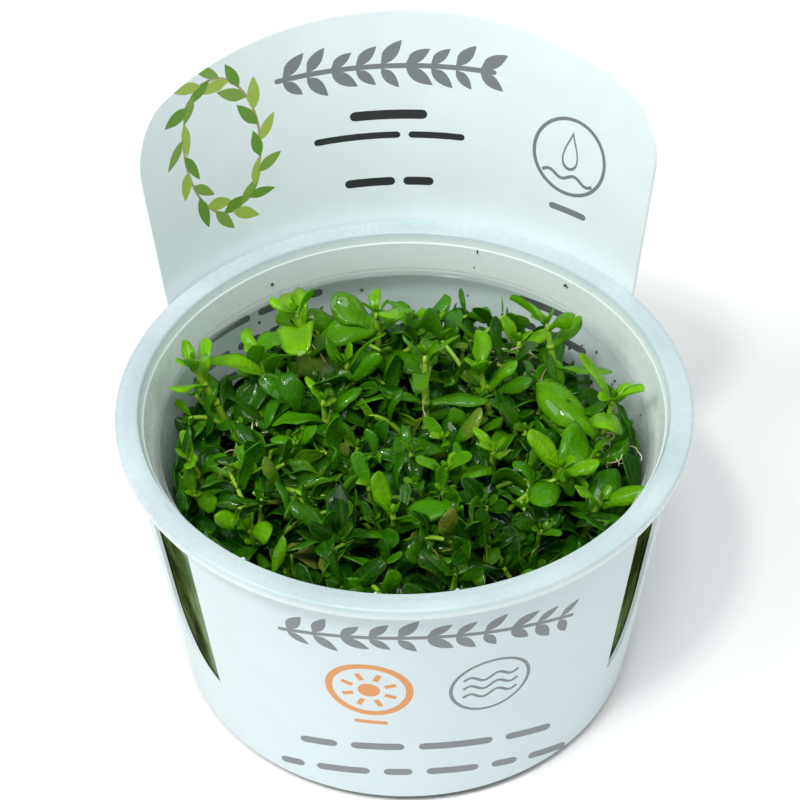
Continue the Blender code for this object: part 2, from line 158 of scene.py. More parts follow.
LEAF_LENGTHS = (4.5 * MM, 6.4 * MM, 7.2 * MM, 6.8 * MM)
LEAF_PITCHES = (50.0, 33.0, 18.0, 8.0)
STEM_STEPS = 18
STEM_HALF = 0.56 * MM
STEM_TIP_HALF = 0.34 * MM

# Fine leaves and lesser shoots
LEAF_GRID = (12, 7)
BUD_GRID = (7, 3)
LEAF_TRIES = 7
ROOM_CELL = 3.0 * MM
SIDE_SHOOTS = 104
SIDE_RADIUS = 32.2 * MM
SIDE_TURN = 40.0
SIDE_SPACING = 2.7 * MM
RUNNERS = 56
SKIRT_SHOOTS = 52
PRESSED_LEAVES = 90

# Leaf pairs of a lesser shoot, as (depth, length, pitch)
LESSER_PAIRS = ((0.7 * MM, 4.6 * MM, 44.0), (3.3 * MM, 6.6 * MM, 24.0), (6.8 * MM, 7.2 * MM, 10.0))

# Shares of the leaves that are missing below a shoot's top pair, and of those that have wilted
LOST_LEAVES = 0.13
WILTED_LEAVES = 0.05

# A leaf is left out where it would overlap others by more than this; this far under the canopy it is old,
# and painted darker as shade
MOST_CROWDING = 3.4 * MM
SHADE_AND_AGE_DEPTH = 9.6 * MM

# Where the random draws of each kind of growth start
MAIN_DRAWS = 100
DEEPER_DRAWS = 300
SIDE_DRAWS = 500
RUNNER_DRAWS = 700
SKIRT_DRAWS = 900
ROOTLET_DRAWS = 1100

# Material slots of a sprig
LEAF, STEM, ROOT = range(3)

# Range of lightness of each kind of shoot, and how much darker they are painted by the front wall, as its
# shade
STANDOUT_TONES = (0.6, 1.0)
CARPET_TONES = (0.2, 0.65)
SIDE_TONES = (0.15, 0.95)
FRONT_SHADE = 0.42

# Root tangle
TANGLE_RADIUS = 30.9 * MM
TANGLE_HEIGHT = 13.0 * MM
TANGLE_RINGS = 34
TANGLE_ROWS = 10
TANGLE_STEPS = 120
TANGLE_STRANDS = 170

# Wisps of pale roots among the upper leaves, as (x, y, height over the canopy) in millimetres
WISPS = (
    (29.6, -1.5, 1.4),
    (28.0, 5.0, 1.2),
    (13.0, 20.0, 1.6),
    (18.5, 12.5, 1.0),
    (-22.0, 4.0, 0.6),
)
WISP_STRANDS = 14

# Specks of dirt: how many on the wall, and those on the seat as (angle, radius, height)
WALL_CRUMBS = 60
SEAT_CRUMBS = (
    (161.4, 36.05 * MM, RIM_HEIGHT - 1.9 * MM),
    (161.9, 35.5 * MM, RIM_HEIGHT - 4.6 * MM),
    (137.5, 35.9 * MM, RIM_HEIGHT - 2.4 * MM),
    (136.9, 35.9 * MM, RIM_HEIGHT - 2.6 * MM),
    (213.0, 35.6 * MM, RIM_HEIGHT - 4.0 * MM),
)

# Camera, as found from the photograph's ellipses
CAMERA_LENS = 99.0
CAMERA_SENSOR = 36.0
CAMERA_DISTANCE = 305.4 * MM
CAMERA_ELEVATION = 42.40
CAMERA_ROLL = -1.01
CAMERA_TARGET = Vector((-0.55 * MM, 0.0, RIM_HEIGHT - 0.66 * MM))

# Softboxes, as (name, place, size, power, colour)
LIGHT_TARGET = Vector((0.0, 0.0, 0.04))
LIGHTS = (
    ("key", (-0.54, -0.24, 0.74), 0.42, 4.3, (1.0, 0.99, 0.97)),
    ("spark", (-0.22, -0.38, 0.86), 0.10, 2.8, (1.0, 1.0, 0.99)),
    ("front", (0.04, -0.34, 0.90), 0.32, 3.2, (0.97, 0.99, 1.0)),
    ("fill", (0.60, 0.00, 0.68), 0.40, 1.4, (0.96, 0.99, 1.0)),
    ("top", (0.06, 0.02, 0.92), 0.30, 0.5, (1.0, 1.0, 1.0)),
)


def lerp(a, b, t):
    return a + (b - a) * t


def smooth(t):
    t = min(max(t, 0.0), 1.0)
    return t * t * (3.0 - 2.0 * t)


def on_circle(angle, radius, height):
    """A point at an angle from the front, at a radius and height."""
    turn = math.radians(angle)
    return Vector((radius * math.sin(turn), -radius * math.cos(turn), height))


# Materials


class Look:
    """A material in the making: its methods add nodes, and most return the socket that a node puts out."""

    def __init__(self, name):
        self.material = bpy.data.materials.new(name)
        self.material.use_nodes = True
        self.tree = self.material.node_tree
        self.tree.nodes.clear()

    def feed(self, socket, value):
        """Links another node's socket to an input, or sets the input's own value."""
        if isinstance(value, bpy.types.NodeSocket):
            self.tree.links.new(value, socket)
        elif socket.type == "RGBA":
            socket.default_value = (*value, 1.0)
        else:
            socket.default_value = value

    def node(self, kind, settings=None, **inputs):
        """A node with its settings, and with its inputs by name, written with _ for each space."""
        made = self.tree.nodes.new("ShaderNode" + kind)
        for key, value in (settings or {}).items():
            setattr(made, key, value)
        for key, value in inputs.items():
            self.feed(made.inputs[key.replace("_", " ")], value)
        return made

    def in_order(self, made, *values):
        """Feeds a node's first inputs, and returns its first output."""
        for socket, value in zip(made.inputs, values):
            self.feed(socket, value)
        return made.outputs[0]

    def math(self, operation, a, b=0.0, clamp=False):
        return self.in_order(self.node("Math", {"operation": operation, "use_clamp": clamp}), a, b)

    def times(self, a, b):
        return self.math("MULTIPLY", a, b)

    def plus(self, a, b):
        return self.math("ADD", a, b)

    def mixed(self, factor, a, b, blend="MIX"):
        """A colour part of the way from a to b."""
        made = self.node("Mix", {"data_type": "RGBA", "blend_type": blend})
        for index, value in ((0, factor), (6, a), (7, b)):
            self.feed(made.inputs[index], value)
        return made.outputs[2]

    def tinted(self, colour, tint):
        return self.mixed(1.0, colour, tint, "MULTIPLY")

    def ranged(self, value, low, high, to_low=0.0, to_high=1.0):
        """Turns low to high into to_low to to_high, with soft ends."""
        made = self.node("MapRange", {"interpolation_type": "SMOOTHSTEP"})
        return self.in_order(made, value, low, high, to_low, to_high)

    def place(self):
        return self.node("TexCoord").outputs["Object"]

    def parts(self, vector):
        return self.node("SeparateXYZ", Vector=vector).outputs

    def own_parts(self, name):
        """The three values that a mesh's points carry under a name."""
        return self.parts(self.node("Attribute", {"attribute_name": name}).outputs["Vector"])

    def facing(self):
        """0 where the surface is seen straight on, 1 where it is seen edge on."""
        return self.node("LayerWeight", Blend=0.5).outputs["Facing"]

    def noise(self, scale, detail=3.0, where=None, rough=0.5):
        where = where or self.place()
        made = self.node("TexNoise", Scale=scale, Detail=detail, Roughness=rough, Vector=where)
        return made.outputs["Fac"]

    def ramp(self, value, *stops):
        """A colour by value, from stops of (value, colour)."""
        made = self.node("ValToRGB", Fac=value)
        elements = made.color_ramp.elements
        elements.remove(elements[1])
        elements[0].position = stops[0][0]
        elements[0].color = (*stops[0][1], 1.0)
        for place, colour in stops[1:]:
            elements.new(place).color = (*colour, 1.0)
        return made.outputs["Color"]

    def bump(self, height, strength, distance):
        return self.node("Bump", Height=height, Strength=strength, Distance=distance).outputs["Normal"]

    def shader(self, kind, **inputs):
        return self.node("Bsdf" + kind, **inputs).outputs[0]

    def between(self, factor, a, b):
        """A shader part of the way from a to b."""
        return self.in_order(self.node("MixShader"), factor, a, b)

    def done(self, shader):
        self.node("OutputMaterial", Surface=shader)
        return self.material


def plastic_material():
    """Milky clear polypropylene: the wall is nearly clear, the seat and the flange are a hazier white, and
    the flange's top is painted a darker grey-blue, as shade.
    """
    look = Look("milky_plastic")
    cloud = look.noise(60.0)
    fine = look.noise(900.0)
    normal = look.bump(fine, 0.05, 0.00005)
    height = look.parts(look.place())["Z"]
    # The flange's top is painted a darker grey-blue than the rest of the milk, as shade
    top = look.ranged(height, RIM_HEIGHT - 1.6 * MM, RIM_HEIGHT - 0.2 * MM)
    tint = look.mixed(top, (0.91, 0.975, 0.955), (0.57, 0.685, 0.715))
    milk = look.mixed(look.ranged(cloud, 0.35, 0.7, 0.0, 0.3), tint, (0.86, 0.94, 0.94))
    roughness = look.ranged(fine, 0.3, 0.7, 0.22, 0.34)
    body = look.shader("Principled", Base_Color=milk, Roughness=roughness, Normal=normal)
    milky = look.between(0.22, body, look.shader("Translucent", Color=milk))

    clear = look.shader("Transparent", Color=(0.985, 0.998, 0.988))
    white = (1.0, 1.0, 1.0)
    shine = look.shader("Principled", Base_Color=white, Roughness=0.13, Metallic=1.0, Normal=normal)
    facing = look.facing()
    mirror = look.plus(look.times(look.math("POWER", facing, 4.0), 0.25), 0.012)
    glassy = look.between(mirror, clear, shine)

    seat = look.ranged(height, STEP_HEIGHT - 0.3 * MM, STEP_HEIGHT + 0.9 * MM, 0.0, 0.66)
    flange = look.ranged(height, RIM_HEIGHT - 1.6 * MM, RIM_HEIGHT - 0.4 * MM, 0.0, 0.12)
    wall = look.ranged(facing, 0.2, 0.95, 0.03, 0.42)
    streaks = look.times(look.ranged(cloud, 0.3, 0.75), 0.02)
    haze = look.math("ADD", look.plus(wall, streaks), look.plus(seat, flange), clamp=True)
    return look.done(look.between(haze, glassy, milky))


def wet_wall_material():
    """The clear wall that wet plants press on behind the slits: seen aslant, it is painted with the plants
    and the shade inside it, and with painted highlight streaks.
    """
    look = Look("wet_wall")
    place = look.place()
    parts = look.parts(place)
    angle = look.math("ARCTAN2", parts["X"], look.times(parts["Y"], -1.0))
    upright = look.node("CombineXYZ", X=angle, Y=look.times(parts["Z"], 9.0)).outputs[0]
    blades = look.noise(9.0, 4.0, upright, 0.6)
    spots = look.noise(300.0, 4.0, place)
    # Painted stand-in for the plants seen through the wall: the darkest stops are painted shade inside the
    # cup, the palest stop is painted highlight streaks
    olive = look.ramp(
        blades,
        (0.32, (0.006, 0.009, 0.002)),
        (0.45, (0.026, 0.042, 0.008)),
        (0.55, (0.062, 0.100, 0.022)),
        (0.66, (0.130, 0.210, 0.060)),
        (0.72, (0.300, 0.400, 0.260)),
    )
    painted_view_with_stains = look.mixed(look.ranged(spots, 0.45, 0.7, 0.0, 0.5), olive, (0.070, 0.074, 0.024))
    # A pale band by the left slit's panel: a pale leaf with painted highlight streaks on it
    near_panel = look.ranged(angle, math.radians(-58.0), math.radians(-52.0), 0.0, 0.75)
    on_left = look.times(near_panel, look.ranged(parts["X"], 0.0, 0.01, 1.0, 0.0))
    pale = look.mixed(look.ranged(blades, 0.4, 0.65), (0.13, 0.23, 0.08), (0.30, 0.42, 0.27))
    leafy = look.mixed(on_left, painted_view_with_stains, pale)
    normal = look.bump(blades, 0.4, 0.0006)
    body = look.shader("Principled", Base_Color=leafy, Roughness=0.3, Normal=normal, Specular_IOR_Level=0.0)
    clear = look.shader("Transparent", Color=(0.985, 0.996, 0.990))
    aslant = look.ranged(look.facing(), 0.38, 0.62, 0.04, 0.92)
    return look.done(look.between(aslant, clear, body))


def card_material(name, colour):
    """Coated card, or ink on it: a fine tooth, and a faint mottle."""
    look = Look(name)
    mottle = look.noise(140.0, 4.0)
    tooth = look.noise(4200.0, 2.0)
    darker = tuple(c * 0.965 for c in colour)
    shade = look.mixed(look.ranged(mottle, 0.3, 0.7), darker, colour)
    roughness = look.ranged(mottle, 0.3, 0.7, 0.36, 0.46)
    normal = look.bump(tooth, 0.06, 0.00003)
    return look.done(look.shader(
        "Principled", Base_Color=shade, Roughness=roughness, Normal=normal, Specular_IOR_Level=0.4))


def leaf_material():
    """A fleshy leaf: pale midrib, a rim painted paler as light shining through its thin edge, faint veins,
    gloss, and light that comes through from behind.
    """
    look = Look("leaf_flesh")
    where = look.own_parts("leaf_where")
    own = look.own_parts("leaf_tone")
    across = look.math("ABSOLUTE", where["X"])
    along, upper = where["Y"], where["Z"]
    tone, age, wilt = own["X"], own["Y"], own["Z"]
    blotch = look.noise(420.0, 4.0)
    puckers = look.noise(1500.0, 2.0)
    colour = leaf_colour(look, across, along, upper, tone, age, wilt, blotch)

    slant = look.math("SUBTRACT", look.times(along, 46.0), look.times(across, 11.0))
    veins = look.times(look.math("SINE", slant), 0.09)
    normal = look.bump(look.plus(veins, look.times(puckers, 2.4)), 0.85, 0.00013)
    body = look.shader(
        "Principled",
        Base_Color=colour,
        Roughness=look.ranged(blotch, 0.3, 0.7, 0.3, 0.5),
        Normal=normal,
        Specular_IOR_Level=0.10,
        Coat_Weight=0.6,
        Coat_Roughness=0.045,
    )
    through = look.shader("Translucent", Color=look.tinted(colour, (2.2, 1.8, 0.8)), Normal=normal)
    return look.done(look.between(look.ranged(age, 0.0, 0.6, 0.50, 0.34), body, through))


def leaf_colour(look, across, along, upper, tone, age, wilt, blotch):
    """A leaf's colour: darker with age, which grows with depth under the canopy and so also paints shade
    there; its lightness and warmth, painted darker by the front wall as its shade; and tan where it wilts.
    """
    flesh = look.ramp(
        age,
        (0.0, (0.130, 0.370, 0.003)),
        (0.28, (0.042, 0.225, 0.001)),
        (0.6, (0.006, 0.080, 0.0003)),
        (1.0, (0.001, 0.024, 0.0003)),
    )
    # Tone is a shoot's own lightness, less the painted shade by the front wall
    warmth = look.ramp(tone, (0.15, (0.62, 0.95, 1.0)), (0.5, (1.0, 1.0, 1.0)), (0.9, (1.36, 1.06, 0.7)))
    bright = look.ranged(tone, 0.0, 1.0, 0.38, 1.52)
    grey = look.node("CombineColor", Red=bright, Green=bright, Blue=bright).outputs["Color"]
    lit = look.tinted(look.tinted(flesh, warmth), grey)
    mottled = look.mixed(look.ranged(blotch, 0.35, 0.75, 0.0, 0.35), lit, (0.040, 0.175, 0.002))
    rib = look.times(look.ranged(across, 0.03, 0.2, 1.0, 0.0), 0.22)
    ribbed = look.mixed(rib, mottled, (0.075, 0.31, 0.005))
    # Painted light: the rim is paler where light shines through the leaf's thin edge
    painted_rim_light = look.mixed(look.ranged(across, 0.78, 1.0, 0.0, 0.45), ribbed, (0.090, 0.320, 0.002))
    sided = look.mixed(look.ranged(upper, 0.0, 1.0, 0.4, 0.0), painted_rim_light, (0.05, 0.20, 0.01))
    faded = look.ranged(look.plus(along, blotch), 0.75, 1.35)
    return look.mixed(look.math("MULTIPLY", wilt, faded, clamp=True), sided, (0.30, 0.33, 0.05))


def stem_material():
    """A juicy stem: yellow-green above, browner towards its foot, with fine lengthwise lines."""
    look = Look("stem_flesh")
    turn = look.own_parts("leaf_where")["X"]
    age = look.own_parts("leaf_tone")["Y"]
    blotch = look.noise(600.0, 4.0)
    flesh = look.ramp(
        age,
        (0.0, (0.29, 0.52, 0.025)),
        (0.4, (0.24, 0.46, 0.020)),
        (0.75, (0.10, 0.25, 0.010)),
        (1.0, (0.08, 0.08, 0.015)),
    )
    lines = look.math("SINE", look.times(turn, 38.0))
    lined = look.mixed(look.ranged(lines, -1.0, 1.0, 0.0, 0.25), flesh, (0.36, 0.56, 0.05))
    colour = look.mixed(look.ranged(blotch, 0.4, 0.8, 0.0, 0.3), lined, (0.12, 0.34, 0.01))
    roughness = look.ranged(blotch, 0.3, 0.7, 0.24, 0.4)
    normal = look.bump(look.plus(lines, blotch), 0.12, 0.00004)
    body = look.shader(
        "Principled", Base_Color=colour, Roughness=roughness, Normal=normal, Specular_IOR_Level=0.5)
    through = look.shader("Translucent", Color=look.tinted(colour, (1.6, 1.6, 0.8)))
    return look.done(look.between(0.2, body, through))


def tangle_material():
    """Wet roots and dead bits: dark brown, with paler hairs and olive stains."""
    look = Look("root_tangle")
    blotch = look.noise(260.0, 6.0, rough=0.65)
    fine = look.noise(2400.0, 4.0, rough=0.7)
    base = look.ramp(
        blotch,
        (0.25, (0.012, 0.011, 0.006)),
        (0.5, (0.045, 0.036, 0.016)),
        (0.62, (0.030, 0.050, 0.012)),
        (0.8, (0.16, 0.12, 0.06)),
    )
    colour = look.mixed(look.ranged(fine, 0.55, 0.75, 0.0, 0.5), base, (0.22, 0.18, 0.10))
    roughness = look.ranged(fine, 0.3, 0.7, 0.3, 0.65)
    normal = look.bump(fine, 0.6, 0.0003)
    return look.done(look.shader("Principled", Base_Color=colour, Roughness=roughness, Normal=normal))


def root_material():
    """Thin pale roots, tan to whitish."""
    look = Look("pale_root")
    blotch = look.noise(500.0, 4.0)
    stops = ((0.3, (0.20, 0.15, 0.07)), (0.5, (0.44, 0.39, 0.24)), (0.7, (0.66, 0.64, 0.50)))
    colour = look.ramp(blotch, *stops)
    normal = look.bump(blotch, 0.2, 0.0001)
    return look.done(look.shader("Principled", Base_Color=colour, Roughness=0.45, Normal=normal))


# Mesh helpers


def add_piece(name, points, faces, materials, slots):
    """A smooth mesh, with a material slot for each face."""
    mesh = bpy.data.meshes.new(name)
    mesh.from_pydata([tuple(p) for p in points], [], [tuple(f) for f in faces])
    for material in materials:
        mesh.materials.append(material)
    mesh.polygons.foreach_set("material_index", slots)
    mesh.polygons.foreach_set("use_smooth", [True] * len(mesh.polygons))
    mesh.update()
    piece = bpy.data.objects.new(name, mesh)
    bpy.context.scene.collection.objects.link(piece)
    return piece


def finish_piece(piece, node):
    """Hangs a piece from the root body, and hides the solid that it is shown in place of."""
    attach(piece, "root")
    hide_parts(node)


def mend(piece, merge=0.0):
    """Joins points nearer than merge to each other, and turns the faces outwards."""
    bm = bmesh.new()
    bm.from_mesh(piece.data)
    if merge > 0.0:
        bmesh.ops.remove_doubles(bm, verts=bm.verts, dist=merge)
    bmesh.ops.recalc_face_normals(bm, faces=bm.faces)
    bm.to_mesh(piece.data)
    bm.free()


def bent(a, b, c, t):
    """The point at t, from 0 to 1, of a curve that leaves a towards b and comes to c from b."""
    return a * (1.0 - t) ** 2 + b * 2.0 * t * (1.0 - t) + c * t ** 2


def squared(side, along):
    """The direction nearest to side that is square to along."""
    return (side - along * side.dot(along)).normalized()


def tube_points(course, radii, sides, square=0.0):
    """A ring of points round each point of a course; square is how far the rings are from round."""
    points = []
    side = None
    for i, place in enumerate(course):
        ahead = (course[min(i + 1, len(course) - 1)] - course[max(i - 1, 0)]).normalized()
        side = squared(side or ahead.orthogonal(), ahead)
        other = ahead.cross(side)
        for k in range(sides):
            turn = 2.0 * math.pi * k / sides
            spoke = (side * math.cos(turn) + other * math.sin(turn)) * radii[i]
            points.append(place + spoke * (1.0 + square * math.cos(4.0 * turn)))
    return points


def bands(first, rings, sides):
    """Faces between the rings of a tube whose points start at first."""
    faces = []
    for a in range(first, first + (rings - 1) * sides, sides):
        for k in range(sides):
            m = (k + 1) % sides
            faces.append((a + k, a + m, a + sides + m, a + sides + k))
    return faces


def capped(first, rings, sides):
    """Faces of a closed tube, with one face on each end."""
    last = first + (rings - 1) * sides
    ends = [[first + k for k in reversed(range(sides))], [last + k for k in range(sides)]]
    return bands(first, rings, sides) + ends


# Cup


def rounded_profile(corners):
    """Points along straight runs whose corners, given as (radius, height, rounding), are arcs."""
    points = []
    for i, (r, z, rounding) in enumerate(corners):
        here = Vector((r, z))
        if rounding == 0.0:
            points.append(here)
            continue
        before = Vector(corners[i - 1][:2]) - here
        after = Vector(corners[i + 1][:2]) - here
        reach = min(rounding, before.length * 0.48, after.length * 0.48)
        start = here + before.normalized() * reach
        end = here + after.normalized() * reach
        points += [bent(start, here, end, k / 4.0) for k in range(5)]
    return points


def cup_profile():
    """The cup's section, from the middle of its floor over the flange to the middle of its underside."""
    flange_under = RIM_HEIGHT - FLANGE_THICKNESS
    seat_outer = BEVEL_RADIUS + WALL
    corners = (
        (0.0, FLOOR, 0.0),
        (INNER_FOOT_RADIUS, FLOOR, 1.6 * MM),
        (INNER_TOP_RADIUS, STEP_HEIGHT - 0.1 * MM, 0.15 * MM),
        (SEAT_FOOT_RADIUS, STEP_HEIGHT + 0.25 * MM, 0.25 * MM),
        (BEVEL_RADIUS - 0.05 * MM, RIM_HEIGHT - BEVEL_DEPTH - 0.2 * MM, 0.1 * MM),
        (BEVEL_RADIUS + 0.16 * MM, RIM_HEIGHT - BEVEL_DEPTH - 0.1 * MM, 0.1 * MM),
        (FLANGE_INNER_RADIUS, RIM_HEIGHT - 0.05 * MM, 0.35 * MM),
        (RIM_RADIUS - 1.4 * MM, RIM_HEIGHT, 0.8 * MM),
        (RIM_RADIUS, RIM_HEIGHT - 0.15 * MM, 0.5 * MM),
        (RIM_RADIUS, RIM_HEIGHT - LIP_DEPTH, 0.35 * MM),
        (RIM_RADIUS - LIP_THICKNESS, RIM_HEIGHT - LIP_DEPTH, 0.3 * MM),
        (RIM_RADIUS - LIP_THICKNESS, flange_under, 0.4 * MM),
        (seat_outer + 0.2 * MM, flange_under, 0.5 * MM),
        (seat_outer - 0.1 * MM, STEP_HEIGHT, 0.5 * MM),
        (INNER_TOP_RADIUS + WALL, STEP_HEIGHT - WALL, 0.5 * MM),
        (OUTER_FOOT_RADIUS, 0.0, 0.9 * MM),
        (OUTER_FOOT_RADIUS - 2.4 * MM, 0.0, 0.4 * MM),
        (OUTER_FOOT_RADIUS - 3.0 * MM, 0.35 * MM, 0.3 * MM),
        (0.0, 0.35 * MM, 0.0),
    )
    return rounded_profile(corners)


def make_cup():
    """The cup's profile turned round its axis, with its nibs."""
    profile = cup_profile()
    points = []
    for i in range(CUP_STEPS):
        angle = 360.0 * i / CUP_STEPS
        points += [on_circle(angle, r + wall_swell(angle, r, z), z) for r, z in profile[1:-1]]
    points += [Vector((0.0, 0.0, end.y)) for end in (profile[0], profile[-1])]
    faces, slots = cup_faces(profile)
    for angle, height, size in NIBS:
        add_nib(points, faces, angle, height, size)
    slots += [0] * (len(faces) - len(slots))
    cup = add_piece("cup_shell", points, faces, [plastic_material(), wet_wall_material()], slots)
    cup.data.set_sharp_from_angle(angle=math.radians(50.0))
    finish_piece(cup, "cup")


def cup_faces(profile):
    """Faces of the turned profile with a fan at each end, and slot 1 where the wall is wet."""
    rows = len(profile) - 2
    inside = CUP_STEPS * rows
    faces = []
    slots = []
    for i in range(CUP_STEPS):
        a = i * rows
        b = (i + 1) % CUP_STEPS * rows
        faces += [(inside, a, b), (inside + 1, b + rows - 1, a + rows - 1)]
        slots += [0, 0]
        wet = behind_slit(360.0 * (i + 0.5) / CUP_STEPS)
        for k in range(rows - 1):
            faces.append((a + k, a + k + 1, b + k + 1, b + k))
            outer_wall = profile[k + 1].y - profile[k + 2].y > 0.5 * STEP_HEIGHT
            slots.append(int(wet and outer_wall))
    return faces, slots


def off_front(angle):
    """How far an angle is from the front, to either side."""
    return abs((angle + 180.0) % 360.0 - 180.0)


def behind_slit(angle):
    """Whether the wall at an angle is seen through a slit of the card."""
    return -LEFT_SLIT[0] - 4.0 < off_front(angle) < -LEFT_SLIT[1] + 9.0


def wall_swell(angle, radius, height):
    """How far the top of the outer wall stands out to the card behind the slits."""
    if radius <= INNER_FOOT_RADIUS or not STEP_HEIGHT - 3.0 * MM < height < STEP_HEIGHT - 0.3 * MM:
        return 0.0
    turned = off_front(angle)
    near = smooth((turned - 42.0) / 4.0) * smooth((80.0 - turned) / 8.0)
    gap = sleeve_radius(angle, height) - 0.2 * MM - (INNER_TOP_RADIUS + WALL)
    return near * max(min(gap, 2.0 * MM), 0.0)


def add_nib(points, faces, angle, height, size):
    """A small moulding nib on the flange's inner edge."""
    first = len(points)
    middle = on_circle(angle, FLANGE_INNER_RADIUS + 0.1 * MM, height)
    rings = ((1.0, -0.3), (1.0, 0.25), (0.72, 0.72), (0.3, 0.95))
    sides = 10
    for share, rise in rings:
        for k in range(sides):
            turn = 2.0 * math.pi * k / sides
            points.append(middle + Vector((share * math.cos(turn), share * math.sin(turn), rise)) * size)
    faces += capped(first, len(rings), sides)


def inner_radius(height):
    """Radius of the clear space in the cup at a height."""
    t = (height - FLOOR) / (STEP_HEIGHT - FLOOR)
    return lerp(INNER_FOOT_RADIUS, INNER_TOP_RADIUS, min(max(t, 0.0), 1.0))


# Card sleeve


def sleeve_radius(angle, height):
    """Radius of the card's inner face: the flare grows from the slits round to the header."""
    slit_end = RIGHT_SLIT[1]
    back = smooth((off_front(angle) - slit_end) / (180.0 - HEADER_HALF - slit_end))
    return SLEEVE_FOOT_RADIUS + lerp(FRONT_FLARE, BACK_FLARE, back) * (height - SLEEVE_FOOT)


def on_card(angle, height):
    """A point on the card's inner face."""
    return on_circle(angle, sleeve_radius(angle, height), height)


def card_point(flat, outside):
    """Where a place on the unrolled card, in millimetres, comes to be on a face of the bent card."""
    angle = math.degrees(flat[0] * MM / UNROLLED_RADIUS)
    height = flat[1] * MM
    place = on_card(angle, height)
    return place + card_normal(angle, height) * CARD if outside else place


def card_normal(angle, height):
    """The direction out of the card's outer face."""
    step = 0.05
    rise = 0.1 * MM
    around = on_card(angle + step, height) - on_card(angle - step, height)
    upward = on_card(angle, height + rise) - on_card(angle, height)
    return around.cross(upward).normalized()


def header_top(angle):
    """Height of the header's arched top, with rounded shoulders."""
    radius = sleeve_radius(angle, RIM_HEIGHT + HEADER_RISE)
    half = math.radians(HEADER_HALF) * radius * (1.0 - HEADER_NARROWING * SHOULDER_RISE)
    along = min(abs(math.radians(angle - HEADER_MIDDLE)) / math.radians(HEADER_HALF), 1.0) * half
    top = RIM_HEIGHT + HEADER_RISE - along * along / (2.0 * HEADER_ARCH_RADIUS)
    past = along - (half - HEADER_CORNER)
    if past > 0.0:
        top -= HEADER_CORNER - math.sqrt(max(HEADER_CORNER ** 2 - past ** 2, 0.0))
    return top


def leaning(angle, height):
    """The header narrows upwards: where a column that starts at angle stands at a height."""
    above = max(height - RIM_HEIGHT, 0.0)
    return HEADER_MIDDLE + (angle - HEADER_MIDDLE) * (1.0 - HEADER_NARROWING * above)


def slit_edge(slit):
    """A slit's lower edge, from its point along a quarter ellipse to its round end."""
    low = []
    for k in range(13):
        turn = math.radians(90.0 * k / 12.0)
        angle = lerp(slit[0], slit[1], math.sin(turn))
        low.append((angle, SLIT_ROUND - (SLIT_ROUND - SLIT_POINT) * math.cos(turn)))
    return low


def panel_corner(slit):
    """The rounded top corner of the front panel beside a slit, from its top edge to its side edge."""
    away = -1.0 if slit[0] > 0.0 else 1.0
    reach = math.degrees(PANEL_CORNER / UNROLLED_RADIUS)
    corner = []
    for k in range(7):
        turn = math.radians(90.0 * k / 6.0)
        corner.append((
            slit[0] + away * reach * (1.0 - math.sin(turn)),
            PANEL_TOP - PANEL_CORNER * (1.0 - math.cos(turn)),
        ))
    return corner


def card_outline():
    """The unrolled card's outline, anticlockwise from the seam's foot, as (angle, height)."""
    corners = [(SEAM, SLEEVE_FOOT), (SEAM + 360.0, SLEEVE_FOOT), (SEAM + 360.0, PANEL_TOP)]
    corners.append((HEADER_MIDDLE + HEADER_HALF, PANEL_TOP))
    for k in range(60, -61, -1):
        angle = HEADER_MIDDLE + HEADER_HALF * math.sin(math.radians(90.0 * k / 60.0))
        top = header_top(angle)
        corners.append((leaning(angle, top), top))
    corners += [(HEADER_MIDDLE - HEADER_HALF, PANEL_TOP), (RIGHT_SLIT[1], PANEL_TOP)]
    corners += slit_edge(RIGHT_SLIT)[::-1] + panel_corner(RIGHT_SLIT)[::-1]
    corners += panel_corner(LEFT_SLIT) + slit_edge(LEFT_SLIT)
    return corners + [(LEFT_SLIT[1], PANEL_TOP), (SEAM, PANEL_TOP)]


def unrolled(angle, height):
    """A place on the unrolled card, in millimetres."""
    return Vector((math.radians(angle) * UNROLLED_RADIUS / MM, height / MM))


def divided(corners, step):
    """A closed outline with points added so that none of its edges is longer than step."""
    points = []
    for a, b in zip(corners, corners[1:] + corners[:1]):
        count = max(1, math.ceil((b - a).length / step))
        points += [a.lerp(b, k / count) for k in range(count)]
    return points


